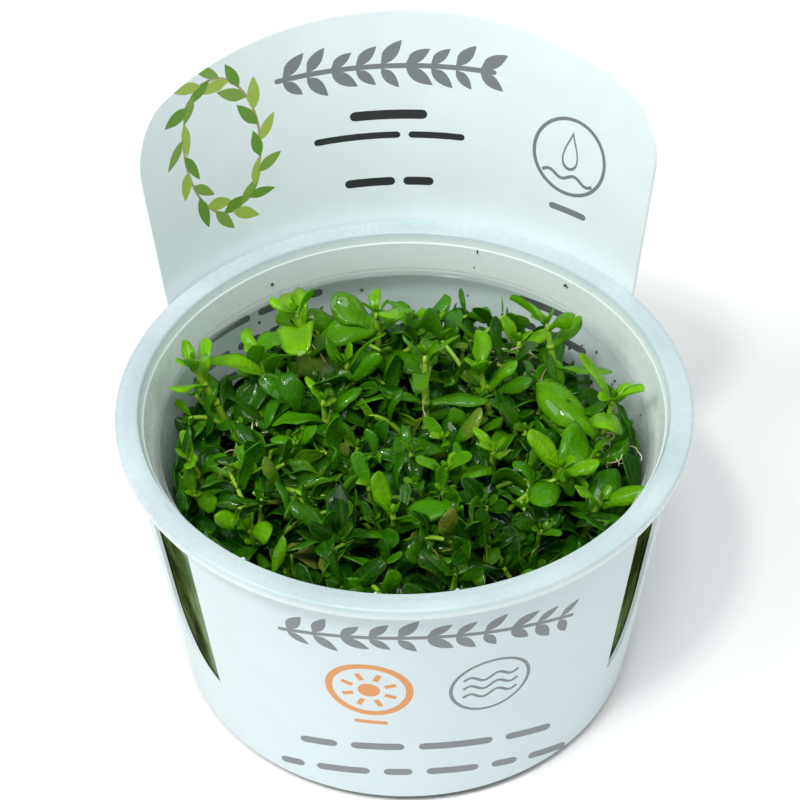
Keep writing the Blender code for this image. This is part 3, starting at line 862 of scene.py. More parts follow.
class Print:
    """Flat printed shapes on one face of the card: polygons in unrolled millimetres, each with its ink.

    A shape is put at an (angle, height in mm), and is drawn in mm to the right and up from there, as the
    printed face is seen. An arch lets a row drop to both sides of the front.
    """

    def __init__(self, seen_from_inside):
        self.turn = -1.0 if seen_from_inside else 1.0
        # Bare card on the outer face is painted darker than on the inner face, as shade
        self.bare = "card_white" if seen_from_inside else "shaded_outer_white"
        self.shapes = []

    def angle_of(self, at, x):
        return at[0] + self.turn * math.degrees(x * MM / sleeve_radius(at[0], at[1] * MM))

    def place(self, at, x, y, arch):
        here = unrolled(at[0], at[1] * MM)
        across = x * UNROLLED_RADIUS / sleeve_radius(at[0], at[1] * MM)
        return Vector((here.x + self.turn * across, here.y + y - arch * self.angle_of(at, x) ** 2))

    def add(self, ink, at, outline, arch=0.0):
        points = [self.place(at, x, y, arch) for x, y in outline]
        area = sum(a.cross(b) for a, b in zip(points, points[1:] + points[:1]))
        self.shapes.append((ink, points if area > 0.0 else points[::-1]))

    def ringed(self, ink, at, outer, inner):
        """A shape in ink with a smaller one of bare card in it."""
        self.add(ink, at, outer)
        self.add(self.bare, at, inner)

    def garland(self, ink, at, length, pairs, size, thick, arch=0.0):
        """A level stem with pairs of leaves along it."""
        self.bar(ink, at, -length / 2.0, length / 2.0, thick, arch)
        for k in range(pairs):
            x = lerp(-length / 2.0, length / 2.0, (k + 0.35) / pairs)
            turned = self.angle_of(at, x)
            for sign in (-1.0, 1.0):
                y = -arch * turned ** 2 + sign * thick * 0.4
                heading = sign * (42.0 + 9.0 * math.sin(k * 2.1)) - math.degrees(2.0 * arch * turned) * 1.5
                reach = size * (1.0 + 0.12 * math.sin(k * 1.7 + sign))
                self.leaf(ink, at, x, y, heading, reach, reach * 0.42)

    def bar(self, ink, at, left, right, thick, arch=0.0):
        """A stroke with round ends from left to right."""
        r = thick / 2.0
        steps = max(2, round((right - left) / 2.0))
        outline = [(left + r - r * math.sin(t), -r * math.cos(t)) for t in turns(math.pi, 0.0, 6)]
        outline += [(lerp(left + r, right - r, k / steps), -r) for k in range(1, steps)]
        outline += [(right - r + r * math.sin(t), -r * math.cos(t)) for t in turns(0.0, math.pi, 6)]
        outline += [(lerp(right - r, left + r, k / steps), r) for k in range(1, steps)]
        self.add(ink, at, outline, arch)

    def words(self, ink, at, widths, gap, thick, arch=0.0):
        """A centred row of bars as long as the words of a line."""
        x = -(sum(widths) + gap * (len(widths) - 1)) / 2.0
        for width in widths:
            self.bar(ink, at, x, x + width, thick, arch)
            x += width + gap

    def stroke(self, ink, at, course, thick):
        """A line of even thickness along a course of (x, y) points."""
        points = [Vector(p) for p in course]
        left = []
        right = []
        for before, p, after in zip(points[:1] + points, points, points[1:] + points[-1:]):
            ahead = (after - before).normalized()
            side = Vector((-ahead.y, ahead.x)) * thick / 2.0
            left.append(p + side)
            right.append(p - side)
        self.add(ink, at, right + left[::-1])

    def leaf(self, ink, at, x, y, heading, length, width):
        """A pointed oval leaf whose foot is at (x, y)."""
        c, s = math.cos(math.radians(heading)), math.sin(math.radians(heading))
        outline = []
        for sign, k in [(-1.0, k) for k in range(7)] + [(1.0, k) for k in range(7, 1, -1)]:
            t = k / 7.0
            half = width / 2.0 * math.sin(math.pi * t ** 0.85) ** 0.9 * sign
            outline.append((x + c * length * t - s * half, y + s * length * t + c * half))
        self.add(ink, at, outline)


def turns(first, last, count):
    """Evenly spaced angles from first to last."""
    return [lerp(first, last, k / count) for k in range(count + 1)]


def oval(across, upward, count=48):
    """An oval outline, given by its half width and half height."""
    return [(across * math.cos(t), upward * math.sin(t)) for t in turns(0.0, 2.0 * math.pi, count)[:-1]]


def drop(y, size):
    """A water drop, point up."""
    return [
        (size * 0.62 * math.sin(t) * math.sin(t / 2.0) ** 1.6, y + size * math.cos(t))
        for t in turns(0.0, 2.0 * math.pi, 24)[:-1]
    ]


def ripple(reach, y, swell):
    """Two waves from reach to the left to reach to the right."""
    steps = 24
    return [
        (lerp(-reach, reach, k / steps), y + swell * math.sin(4.0 * math.pi * k / steps))
        for k in range(steps + 1)
    ]


def inside_print():
    """What is printed on the card's inner face: the header's front, and lines low down behind the cup."""
    sheet = Print(seen_from_inside=True)
    sheet.garland("ink_grey", (182.5, 72.6), 33.0, 9, 4.3, 0.8)
    sheet.words("ink_black", (182.0, 64.9), (11.5,), 1.0, 1.5)
    sheet.words("ink_black", (182.0, 61.6), (13.0, 8.4), 1.2, 1.05)
    sheet.words("ink_black", (182.2, 54.0), (7.6, 4.6), 1.2, 1.35)
    add_wreath(sheet, (216.5, 65.6))

    mark = (144.5, 62.6)
    sheet.ringed("ink_grey", mark, oval(6.2, 6.2), oval(5.65, 5.65))
    sheet.ringed("ink_grey", mark, drop(1.0, 3.2), drop(0.85, 2.55))
    sheet.stroke("ink_grey", mark, ripple(4.3, -3.3, 0.45), 0.5)
    sheet.words("ink_grey", (143.4, 54.0), (6.4,), 1.0, 1.0)

    left_lines = ((8.6, 11.0), (5.6, 4.4, 9.2), (4.4, 6.4, 3.0), (6.2, 5.0))
    right_lines = ((9.0,), (6.0, 8.0), (8.0, 5.0))
    for angle, shift, lines in ((214.0, 1.5, left_lines), (146.0, -1.5, right_lines)):
        for row, widths in enumerate(lines):
            sheet.words("ink_black", (angle + shift * row, 36.6 - 4.1 * row), widths, 1.5, 1.25)
    return sheet


def add_wreath(sheet, at):
    """An upright oval of twig with green leaves to both sides."""
    rng = random.Random(5)
    count = 26
    inks = ("ink_green", "ink_lime", "ink_moss")
    sheet.ringed("ink_bark", at, oval(6.6, 10.8, 60), oval(6.2, 10.4, 60))
    for k in range(count):
        t = 2.0 * math.pi * (k + 0.5) / count
        heading = math.degrees(t) + (62.0 if k % 2 else 118.0)
        length, width = rng.uniform(4.4, 5.4), rng.uniform(1.5, 2.0)
        sheet.leaf(inks[k % 3], at, 6.4 * math.cos(t), 10.6 * math.sin(t), heading, length, width)


def outside_print():
    """What is printed on the front panel: a garland, two round signs, and two rows of bars."""
    sheet = Print(seen_from_inside=False)
    arch = 0.0034
    sheet.garland("ink_grey", (4.5, 40.2), 41.0, 11, 3.9, 0.7, arch)

    sun = (-8.5, 28.0)
    sheet.ringed("ink_orange", sun, oval(5.9, 5.9), oval(4.9, 4.9))
    sheet.add("ink_orange", sun, oval(1.5, 1.5, 20))
    for k in range(8):
        t = math.radians(45.0 * k + 22.5)
        sheet.stroke("ink_orange", sun, [(r * math.cos(t), r * math.sin(t)) for r in (2.3, 3.9)], 0.75)
    sheet.words("ink_orange", (-8.5, 20.4), (4.6,), 1.0, 0.8)

    water = (17.5, 27.2)
    sheet.ringed("ink_grey", water, oval(5.7, 5.7), oval(5.2, 5.2))
    for y in (-1.9, 0.0, 1.9):
        sheet.stroke("ink_grey", water, ripple(3.8, y, 0.55), 0.5)

    sheet.words("ink_grey", (4.5, 14.6), (5.6, 7.4, 10.4, 7.6), 1.9, 1.6, arch)
    sheet.words("ink_grey", (4.5, 8.2), (4.0, 7.8, 4.0, 7.4, 4.0, 7.2), 1.9, 1.6, arch)
    return sheet


def grid_points(outline):
    """Staggered points all over the unrolled card, so that its faces bend with it."""
    low = Vector((min(p.x for p in outline), min(p.y for p in outline)))
    high = Vector((max(p.x for p in outline), max(p.y for p in outline)))
    step = CARD_GRID / MM
    return [
        Vector((low.x + (i + 0.5 * (j % 2)) * step, low.y + j * step))
        for i in range(1, math.ceil((high.x - low.x) / step))
        for j in range(1, math.ceil((high.y - low.y) / step))
    ]


def card_face(outline, sheet):
    """Triangles of one face of the unrolled card, cut along the print, with the ink of each."""
    points = list(outline)
    loops = [list(range(len(outline)))]
    for _, shape in sheet.shapes:
        loops.append(list(range(len(points), len(points) + len(shape))))
        points += shape
    points += grid_points(outline)
    flat, _, triangles, _, _, inside = delaunay_2d_cdt(points, [], loops, 0, 1e-4)
    names = list(INKS)
    kept = []
    inks = []
    for triangle, owners in zip(triangles, inside):
        if 0 in owners:
            top = max(owners)
            kept.append(triangle)
            inks.append(names.index(sheet.bare if top == 0 else sheet.shapes[top - 1][0]))
    used = sorted({k for triangle in kept for k in triangle})
    number = {k: i for i, k in enumerate(used)}
    return [flat[k] for k in used], [[number[k] for k in triangle] for triangle in kept], inks


def make_sleeve():
    """The bent card: its two printed faces, and the edge between them."""
    outline = divided([unrolled(*c) for c in card_outline()], CARD_EDGE_STEP / MM)
    points = []
    faces = []
    slots = []
    for outside, sheet in ((True, outside_print()), (False, inside_print())):
        flat, triangles, inks = card_face(outline, sheet)
        first = len(points)
        points += [card_point(p, outside) for p in flat]
        slots += inks
        for triangle in triangles:
            a, b, c = (flat[k] for k in triangle)
            anticlockwise = (b - a).cross(c - a) > 0.0
            order = triangle if anticlockwise == outside else triangle[::-1]
            faces.append([first + k for k in order])
    add_card_edge(points, faces, outline)
    slots += [0] * (len(faces) - len(slots))
    materials = [card_material(name, colour) for name, colour in INKS.items()]
    sleeve = add_piece("card_sleeve", points, faces, materials, slots)
    mend(sleeve, 0.002 * MM)
    sleeve.data.set_sharp_from_angle(angle=math.radians(40.0))
    finish_piece(sleeve, "sleeve")


def add_card_edge(points, faces, outline):
    """The card's thickness along its outline, apart from the seam."""
    first = len(points)
    count = len(outline)
    points += [card_point(p, outside) for outside in (True, False) for p in outline]
    for i in range(count):
        j = (i + 1) % count
        if not (is_seam(outline[i]) and is_seam(outline[j])):
            faces.append([first + i, first + count + i, first + count + j, first + j])


def is_seam(flat):
    """Whether a place on the unrolled card is on one of the two edges that meet at the seam."""
    return min(abs(flat.x - unrolled(end, 0.0).x) for end in (SEAM, SEAM + 360.0)) < 1e-3


# Root tangle


def make_tangle():
    """The mass of roots on the cup's floor with strands over it, and the specks of dirt on the cup."""
    rng = random.Random(SEED + 1)
    points = tangle_points()
    faces = tangle_faces()
    slots = [0] * len(faces)
    for _ in range(TANGLE_STRANDS):
        add_strand(points, faces, rng)
    slots += [1] * (len(faces) - len(slots))
    for _ in range(WALL_CRUMBS):
        height = rng.uniform(27.0, 40.0) * MM
        left, right = rng.uniform(-134.0, -96.0), rng.uniform(96.0, 140.0)
        angle = rng.choice((left, right, rng.uniform(-180.0, 180.0)))
        add_crumb(points, faces, on_circle(angle, inner_radius(height) - 0.04 * MM, height), rng)
    for angle, radius, height in SEAT_CRUMBS:
        add_crumb(points, faces, on_circle(angle, radius, height), rng)
    slots += [0] * (len(faces) - len(slots))
    tangle = add_piece("root_tangle", points, faces, [tangle_material(), root_material()], slots)
    mend(tangle)
    finish_piece(tangle, "root_mat")


def tangle_points():
    """Points of a lumpy mass: its top from the middle out, its side downwards, and its middle below."""
    foot = FLOOR + 0.3 * MM
    points = [Vector((0.0, 0.0, tangle_top(0.0, 0.0)))]
    for ring in range(1, TANGLE_RINGS + 1):
        for i in range(TANGLE_STEPS):
            place = on_circle(360.0 * i / TANGLE_STEPS, TANGLE_RADIUS * ring / TANGLE_RINGS, 0.0)
            points.append(Vector((place.x, place.y, tangle_top(place.x, place.y))))
    rim = points[-TANGLE_STEPS:]
    for row in range(1, TANGLE_ROWS + 1):
        t = row / TANGLE_ROWS
        for i, top in enumerate(rim):
            rough = 0.25 * MM * math.sin(i * 1.7 + row * 2.3) * math.sin(row * 0.9 + i * 0.31)
            place = on_circle(360.0 * i / TANGLE_STEPS, TANGLE_RADIUS - rough - 0.5 * MM * t, 0.0)
            points.append(Vector((place.x, place.y, lerp(top.z, foot, t))))
    return points + [Vector((0.0, 0.0, foot))]


def tangle_faces():
    """Faces between the rings of the mass, with a fan round its middle above and below."""
    under = 1 + (TANGLE_RINGS + TANGLE_ROWS) * TANGLE_STEPS
    last = under - TANGLE_STEPS
    faces = []
    for i in range(TANGLE_STEPS):
        j = (i + 1) % TANGLE_STEPS
        faces.append((0, 1 + i, 1 + j))
        for a in range(1, last, TANGLE_STEPS):
            b = a + TANGLE_STEPS
            faces.append((a + i, b + i, b + j, a + j))
        faces.append((last + i, under, last + j))
    return faces


def tangle_top(x, y):
    """Height of the tangle's lumpy top."""
    fine = math.sin(x * 410.0) * math.cos(y * 370.0)
    broad = math.sin(x * 230.0 - y * 290.0)
    small = math.sin(x * 1900.0 + 2.0 * math.sin(y * 900.0))
    small *= math.sin(y * 1700.0 + 1.3 * math.sin(x * 1100.0))
    edge = smooth((math.hypot(x, y) / (30.6 * MM) - 0.55) / 0.45)
    return FLOOR + TANGLE_HEIGHT + 1.5 * MM * lerp(fine, broad, 0.4) + 0.55 * MM * small - 1.6 * MM * edge


def add_crumb(points, faces, place, rng):
    """A speck of dirt that sticks to the cup: a small uneven lump."""
    first = len(points)
    size = rng.uniform(0.10, 0.26) * MM
    stretch = Vector((rng.uniform(0.7, 1.3), rng.uniform(0.7, 1.3), rng.uniform(0.7, 2.0)))
    rings = ((-1.0, 0.3), (-0.5, 0.9), (0.3, 1.0), (0.9, 0.4))
    for height, share in rings:
        for k in range(6):
            turn = math.radians(60.0 * k + rng.uniform(-12.0, 12.0))
            spoke = Vector((share * math.cos(turn), share * math.sin(turn), height)) * size
            points.append(place + spoke * stretch)
    faces += capped(first, len(rings), 6)


def add_strand(points, faces, rng):
    """A thin root that wanders over the tangle."""
    angle = rng.uniform(0.0, 2.0 * math.pi)
    reach = 29.5 * MM * math.sqrt(rng.random())
    x, y = reach * math.cos(angle), reach * math.sin(angle)
    heading = rng.uniform(0.0, 2.0 * math.pi)
    thick = rng.uniform(0.07, 0.16) * MM
    course = []
    for _ in range(rng.randint(8, 16)):
        lift = rng.uniform(0.0, 0.9) * MM
        course.append(Vector((x, y, tangle_top(x, y) + lift)))
        heading += rng.uniform(-0.7, 0.7)
        x += 1.1 * MM * math.cos(heading)
        y += 1.1 * MM * math.sin(heading)
        if math.hypot(x, y) > 29.8 * MM:
            break
    if len(course) > 2:
        faces += capped(len(points), len(course), 5)
        points += tube_points(course, [thick] * len(course), 5)


# Sprigs


class Sprig:
    """One sprig: the course of its main stem, and its mesh, gathered stem by stem and leaf by leaf."""

    def __init__(self, number, room, tip, turn, vigour, pairs):
        self.number = number
        self.room = room
        self.tip = tip
        self.foot = foot_of(number)
        self.turn = turn
        self.vigour = vigour
        self.pairs = pairs
        end = lowered(tip, number)
        self.course = bowed(self.foot, stem_knee(end, self.foot), end, STEM_STEPS)
        self.parts = []
        self.total = 0

    def add(self, points, faces, slot, where, tone):
        tones = np.tile(tone, (len(points), 1)) if np.ndim(tone) == 1 else tone
        self.parts.append((points, faces + self.total, np.full(len(faces), slot), where, tones))
        self.total += len(points)

    def make_piece(self, materials):
        points, faces, slots, where, tones = (np.concatenate(group) for group in zip(*self.parts))
        label = f"{self.number + 1:02d}"
        piece = add_piece("rotala_" + label, points, faces.tolist(), materials, slots)
        for title, values in (("leaf_where", where), ("leaf_tone", tones)):
            layer = piece.data.attributes.new(title, "FLOAT_VECTOR", "POINT")
            layer.data.foreach_set("vector", values.astype(np.float32).ravel())
        finish_piece(piece, "sprig_" + label)


class Room:
    """Where leaves already are, as balls in a grid of cells."""

    def __init__(self):
        self.cells = {}

    def cell(self, p):
        return tuple(math.floor(c / ROOM_CELL) for c in p)

    def fill(self, balls):
        for p, radius in balls:
            self.cells.setdefault(self.cell(p), []).append((p, radius))

    def crowding(self, balls):
        total = 0.0
        for p, radius in balls:
            over = math.hypot(p.x, p.y) - (inner_radius(p.z) - 0.3 * MM)
            if over > 0.0 and p.z < RIM_HEIGHT + 1.0 * MM:
                total += 12.0 * over
            cx, cy, cz = self.cell(p)
            for dx in (-1, 0, 1):
                for dy in (-1, 0, 1):
                    for dz in (-1, 0, 1):
                        for other, size in self.cells.get((cx + dx, cy + dy, cz + dz), ()):
                            gap = radius + size - (p - other).length
                            if gap > 0.0:
                                total += gap
        return total


def leaf_half(s, foot_share, widest, blunt):
    """A leaf's half width along it, from a narrow foot over a wide middle to a round tip, at most 1."""
    rise = np.clip(s / widest, 0.0, 1.0)
    foot = foot_share + (1.0 - foot_share) * rise * rise * (3.0 - 2.0 * rise)
    fall = np.clip((s - widest) / (1.0 - widest), 0.0, 1.0)
    return foot * np.sqrt(np.clip(1.0 - fall ** blunt, 0.0, 1.0)) + 0.06 * (s > 0.995)


def leaf_faces(rows, columns):
    """Faces of a closed leaf: an upper and a lower grid, and the rim between them."""
    faces = []
    low = rows * columns
    for i in range(rows - 1):
        for j in range(columns - 1):
            a = i * columns + j
            faces.append((a, a + columns, a + columns + 1, a + 1))
            faces.append((low + a, low + a + 1, low + a + columns + 1, low + a + columns))
        a = i * columns
        faces.append((a, low + a, low + a + columns, a + columns))
        a = i * columns + columns - 1
        faces.append((a, a + columns, low + a + columns, low + a))
    last = (rows - 1) * columns
    for j in range(columns - 1):
        faces.append((j, j + 1, low + j + 1, low + j))
        faces.append((last + j, low + last + j, low + last + j + 1, last + j + 1))
    return np.array(faces)


GRID_FACES = {grid: leaf_faces(*grid) for grid in (LEAF_GRID, BUD_GRID)}


def leaf_curve(length, droop, rows):
    """How far out and up the midrib is at each row, as it bends down by droop radians over its length."""
    s = np.sin(np.linspace(0.0, math.pi / 2.0, rows)) ** 1.1
    bend = droop * s ** 1.2
    middle = (bend[1:] + bend[:-1]) / 2.0
    step = length * np.diff(s)
    out = np.concatenate(([0.0], np.cumsum(np.cos(middle) * step)))
    rise = np.concatenate(([0.0], np.cumsum(-np.sin(middle) * step)))
    return s, bend, out, rise


def leaf_relief(shape, half, S, C):
    """How far aside, how far up and how thick a leaf is at each point of its grid.

    S is a point's share of the leaf's length, C its place across from -1 to 1, and half the half width.
    """
    width = shape["width"]
    swell = np.sin(math.pi * np.clip(S, 0.0, 1.0))
    groove = np.exp(-((C / 0.32) ** 2)) * swell
    dish = shape["cup"] * C ** 2 + shape["roll"] * np.abs(C) ** 3.5
    ripple_at = S * shape["waves"] + shape["phase"]
    arch = half * dish - 0.07 * width * groove
    arch = arch + shape["ripple"] * width * np.sin(ripple_at + 1.3 * C) * (0.3 + C ** 2) * swell
    lateral = half * C * (1.0 + 0.06 * np.sin(ripple_at * 1.7 + C))
    roll = shape["twist"] * S
    side = lateral * np.cos(roll) - arch * np.sin(roll) + shape["sway"] * shape["length"] * S ** 2
    lift = lateral * np.sin(roll) + arch * np.cos(roll)
    body = 0.45 + 0.55 * np.sin(math.pi * np.clip(S * 0.9 + 0.1, 0.0, 1.0))
    thick = width * (0.035 + 0.06 * np.sqrt(np.clip(1.0 - C ** 2, 0.0, 1.0))) * body
    return side, lift, thick


def add_leaf(sprig, root, aim, up, shape, tone, grid=LEAF_GRID):
    """A fine leaf from root along aim, with its upper face towards up."""
    rows, columns = grid
    across = aim.cross(up).normalized()
    up = across.cross(aim).normalized()
    s, bend, out, rise = leaf_curve(shape["length"], shape["droop"], rows)
    half = shape["width"] / 2.0 * leaf_half(s, shape["foot"], shape["widest"], shape["blunt"])
    S, C = np.meshgrid(s, np.linspace(-1.0, 1.0, columns), indexing="ij")
    side, lift, thick = leaf_relief(shape, half[:, None], S, C)
    sheets = []
    for sign in (1.0, -1.0):
        height = lift + sign * thick / 2.0
        x = out[:, None] + np.sin(bend)[:, None] * height
        z = rise[:, None] + np.cos(bend)[:, None] * height
        spread = np.array(root) + x[..., None] * np.array(aim) + side[..., None] * np.array(across)
        sheets.append((spread + z[..., None] * np.array(up)).reshape(-1, 3))
    where = [np.stack([C.ravel(), S.ravel(), np.full(C.size, upper)], 1) for upper in (1.0, 0.0)]
    sprig.add(np.concatenate(sheets), GRID_FACES[grid], LEAF, np.concatenate(where), np.array(tone))


def leaf_shape(rng, length, width_share, droop):
    """A leaf's own form: broad spoons, narrower oblongs and curled ones, none quite alike."""
    return {
        "length": length,
        "width": length * width_share,
        "droop": droop,
        "foot": rng.uniform(0.24, 0.54),
        "widest": rng.uniform(0.48, 0.74),
        "blunt": rng.uniform(2.3, 3.3),
        "cup": rng.uniform(-0.52, 0.46),
        "roll": rng.uniform(-0.5, 0.2),
        "twist": math.radians(rng.gauss(0.0, 26.0)),
        "sway": rng.uniform(-0.20, 0.20),
        "ripple": rng.uniform(0.01, 0.08),
        "waves": rng.uniform(5.0, 11.0),
        "phase": rng.uniform(0.0, 6.3),
    }


def leaf_balls(root, aim, up, length, width, droop):
    """A leaf as a few balls, for keeping leaves apart."""
    balls = []
    for s in (0.4, 0.68, 0.95):
        bend = droop * s ** 1.3 * 0.5
        p = root + (aim * math.cos(bend) - up * math.sin(bend)) * length * s
        balls.append((p, width * (0.36 if s < 0.9 else 0.26)))
    return balls


def add_stem(sprig, course, halves, tone, ages, sides=8):
    """A stem along a course of points, slightly square, with an age at each point."""
    rings = len(course)
    points = np.array(tube_points(course, halves, sides, 0.05))
    around = [2.0 * math.pi * k / sides for k in range(sides)]
    where = np.array([(turn, i / (rings - 1), 1.0) for i in range(rings) for turn in around])
    tones = np.array([(tone, age, 0.0) for age in ages for _ in around])
    faces = bands(0, rings, sides)
    top = (rings - 1) * sides
    for k in range(1, sides - 2, 2):
        faces.append((0, k + 2, k + 1, k))
        faces.append((top, top + k, top + k + 1, top + k + 2))
    sprig.add(points, np.array(faces), STEM, where, tones)


def stem_knee(tip, foot):
    """A stem rises nearly upright from its foot towards its knee, then bends over to its tip."""
    knee = foot.lerp(tip, KNEE_ACROSS)
    knee.z = foot.z + KNEE_UP * (tip.z - foot.z)
    return knee


def foot_of(number):
    """The foot of a sprig's own solid."""
    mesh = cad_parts[f"sprig_{number + 1:02d}"].data
    low = min(v.co.z for v in mesh.vertices)
    found = [v.co for v in mesh.vertices if v.co.z < low + 0.2 * MM]
    return sum(found, Vector()) / len(found)


def sprig_plan():
    """The sprigs, with no leaves yet: the standout ones, then an even carpet."""
    rng = random.Random(SEED)
    room = Room()
    sprigs = []
    for x, y, over in STANDOUT_TIPS:
        tip = Vector((x * MM, y * MM, RIM_HEIGHT + over * MM))
        turn, vigour = rng.uniform(0.0, 90.0), rng.uniform(*STANDOUT_VIGOUR)
        sprigs.append(Sprig(len(sprigs), room, tip, turn, vigour, len(NODE_DEPTHS)))
    for i in range(CARPET_TIPS):
        tip = on_circle(GOLDEN_ANGLE * i, CARPET_RADIUS * math.sqrt((i + 0.5) / CARPET_TIPS), 0.0)
        tip += Vector((rng.uniform(-1.0, 1.0), rng.uniform(-1.0, 1.0), 0.0)) * CARPET_SHIFT
        tip.z = RIM_HEIGHT - CARPET_DEPTH + rng.uniform(-1.0, 1.0) * CARPET_SPREAD
        turn, vigour = rng.uniform(0.0, 90.0), rng.uniform(*CARPET_VIGOUR)
        if min((tip.xy - other.tip.xy).length for other in sprigs) > TIP_SPACING:
            sprigs.append(Sprig(len(sprigs), room, tip, turn, vigour, CARPET_PAIRS))
    return sprigs


def canopy_height(x, y):
    """Height of the leafy top at a place in the cup."""
    swell = math.sin(x * 260.0 + 0.6) * math.cos(y * 230.0 + 1.1)
    by_wall = smooth((math.hypot(x, y) - 19.0 * MM) / (12.0 * MM))
    pit = math.exp(-((x + 23.0 * MM) ** 2 + (y - 19.0 * MM) ** 2) / (8.0 * MM) ** 2)
    return RIM_HEIGHT - 9.3 * MM + 2.2 * MM * swell - 3.2 * MM * by_wall - 4.5 * MM * pit


def side_tips(sprigs):
    """Tips of the lesser shoots, spread evenly over the cup, each with the sprig that it grows from."""
    rng = random.Random(SEED + 2)
    tips = []
    for i in range(SIDE_SHOOTS):
        radius = SIDE_RADIUS * math.sqrt((i + 0.5) / SIDE_SHOOTS)
        place = on_circle(GOLDEN_ANGLE * i + SIDE_TURN, radius, 0.0)
        x = place.x + rng.uniform(-1.0, 1.0) * MM
        y = place.y + rng.uniform(-1.0, 1.0) * MM
        tip = Vector((x, y, canopy_height(x, y) + rng.gauss(-0.6, 1.5) * MM))
        gaps = []
        for sprig in sprigs:
            upper = bent(sprig.foot, stem_knee(sprig.tip, sprig.foot), sprig.tip, 0.6)
            gaps.append((upper.xy - tip.xy).length)
        nearest = sprigs[gaps.index(min(gaps))]
        if (nearest.tip - tip).length > SIDE_SPACING:
            tips.append((tip, nearest))
    return tips


def bowed(start, knee, tip, steps):
    """A stem's course from start to tip, bent towards its knee."""
    return [bent(start, knee, tip, i / steps) for i in range(steps + 1)]


def run_length(course):
    return sum((b - a).length for a, b in zip(course, course[1:]))


def nearest_sprig(sprigs, place):
    """The sprig whose main stem comes nearest to a place."""
    return min(sprigs, key=lambda sprig: min((p - place).length for p in sprig.course))


def tilted(heading, along, tilt):
    """A leaf's aim and upward direction when it is raised from heading towards along."""
    aim = (heading * math.cos(tilt) + along * math.sin(tilt)).normalized()
    up = (along * math.cos(tilt) - heading * math.sin(tilt)).normalized()
    return aim, up


def along_from_tip(course, depth):
    """Place and direction at a depth below the tip, measured along a course that runs foot to tip."""
    left = depth
    for b, a in zip(course[::-1], course[-2::-1]):
        span = (b - a).length
        if left <= span:
            return b.lerp(a, left / span), (b - a).normalized()
        left -= span
    return course[0].copy(), (course[1] - course[0]).normalized()


class Shoot:
    """The leaves of a stem whose course runs from foot to tip: first its bud, then pairs of leaves."""

    def __init__(self, sprig, course, turn, vigour, tone, rng):
        self.sprig = sprig
        self.course = course
        self.turn = turn
        self.vigour = vigour
        self.tone = tone
        self.rng = rng

    def add_bud(self, size=1.0):
        """The growing tip: small upright leaves folded round each other."""
        rng = self.rng
        vigour = self.vigour * size
        place, along = along_from_tip(self.course, 0.25 * MM)
        side = squared(on_circle(self.turn + 45.0, 1.0, 0.0), along)
        tone = (min(self.tone + 0.15, 1.0), 0.05, 0.0)
        for out, length, pitch in ((side, 2.4, 50.0), (along.cross(side), 1.4, 72.0)):
            for heading in (out, -out):
                aim, up = tilted(heading, along, math.radians(pitch + rng.uniform(-10.0, 10.0)))
                shape = leaf_shape(rng, length * vigour * MM, 0.5, math.radians(rng.uniform(-25.0, 50.0)))
                shape["cup"] = 0.45
                add_leaf(self.sprig, place, aim, up, shape, tone, BUD_GRID)

    def add_pairs(self, pairs, age_start=0.0):
        """Leaf pairs from the tip down, as (depth, length, pitch), each pair crossing the one above."""
        for number, (depth, length, pitch) in enumerate(pairs):
            place, along = along_from_tip(self.course, depth)
            side = squared(on_circle(self.turn, 1.0, 0.0), along)
            out = side if number % 2 == 0 else along.cross(side)
            # Lower leaves are older, and are also painted darker there as shade under the canopy
            under = (canopy_height(place.x, place.y) + 3.0 * MM - place.z) / SHADE_AND_AGE_DEPTH
            age = 0.5 * (age_start + 0.16 * number) + 0.55 * under + self.rng.uniform(-0.1, 0.14)
            age = min(max(age, 0.0), 1.0)
            for heading in (out, -out):
                if number == 0 or self.rng.random() >= LOST_LEAVES:
                    self.grow_leaf(place, along, heading, length * self.vigour, pitch, age)

    def grow_leaf(self, place, along, out, length, pitch, age):
        """A leaf held in the clearest of a few ways, or none where it is too crowded."""
        rng = self.rng
        room = self.sprig.room
        front = in_front(place)
        length *= rng.uniform(0.84, 1.46)
        pitch += 14.0 * front
        droop = math.radians(rng.uniform(10.0, 125.0) * (0.55 if pitch > 40.0 else 1.0))
        width_share = rng.uniform(0.34, 0.54) * (1.0 - 0.12 * front)
        ways = []
        for k in range(LEAF_TRIES):
            tilt = math.radians(pitch + rng.uniform(-13.0, 13.0) * (1.0 + 0.3 * k)) + 0.36 * droop
            tilt = min(tilt, math.radians(64.0))
            swing = math.radians(rng.uniform(-18.0, 18.0) * (1.0 + 0.4 * k))
            heading = out * math.cos(swing) + along.cross(out) * math.sin(swing)
            aim, up = tilted(heading, along, tilt)
            lean = math.radians(rng.gauss(0.0, 14.0))
            up = (up * math.cos(lean) + aim.cross(up) * math.sin(lean)).normalized()
            balls = leaf_balls(place, aim, up, length, length * width_share, droop)
            ways.append((room.crowding(balls) + 0.00012 * k, aim, up, balls))
        cost, aim, up, balls = min(ways, key=lambda way: way[0])
        if cost > MOST_CROWDING:
            return
        room.fill(balls)
        wilt = rng.uniform(0.3, 0.8) if rng.random() < WILTED_LEAVES else 0.0
        shade = min(max(self.tone + rng.uniform(-0.2, 0.2), 0.0), 1.0)
        shape = leaf_shape(rng, length, width_share, droop)
        add_leaf(self.sprig, place + out * STEM_HALF * 0.4, aim, up, shape, (shade, age, wilt))


def draws(start, number):
    """Random draws of its own for each thing that grows."""
    return random.Random(SEED * start + number)


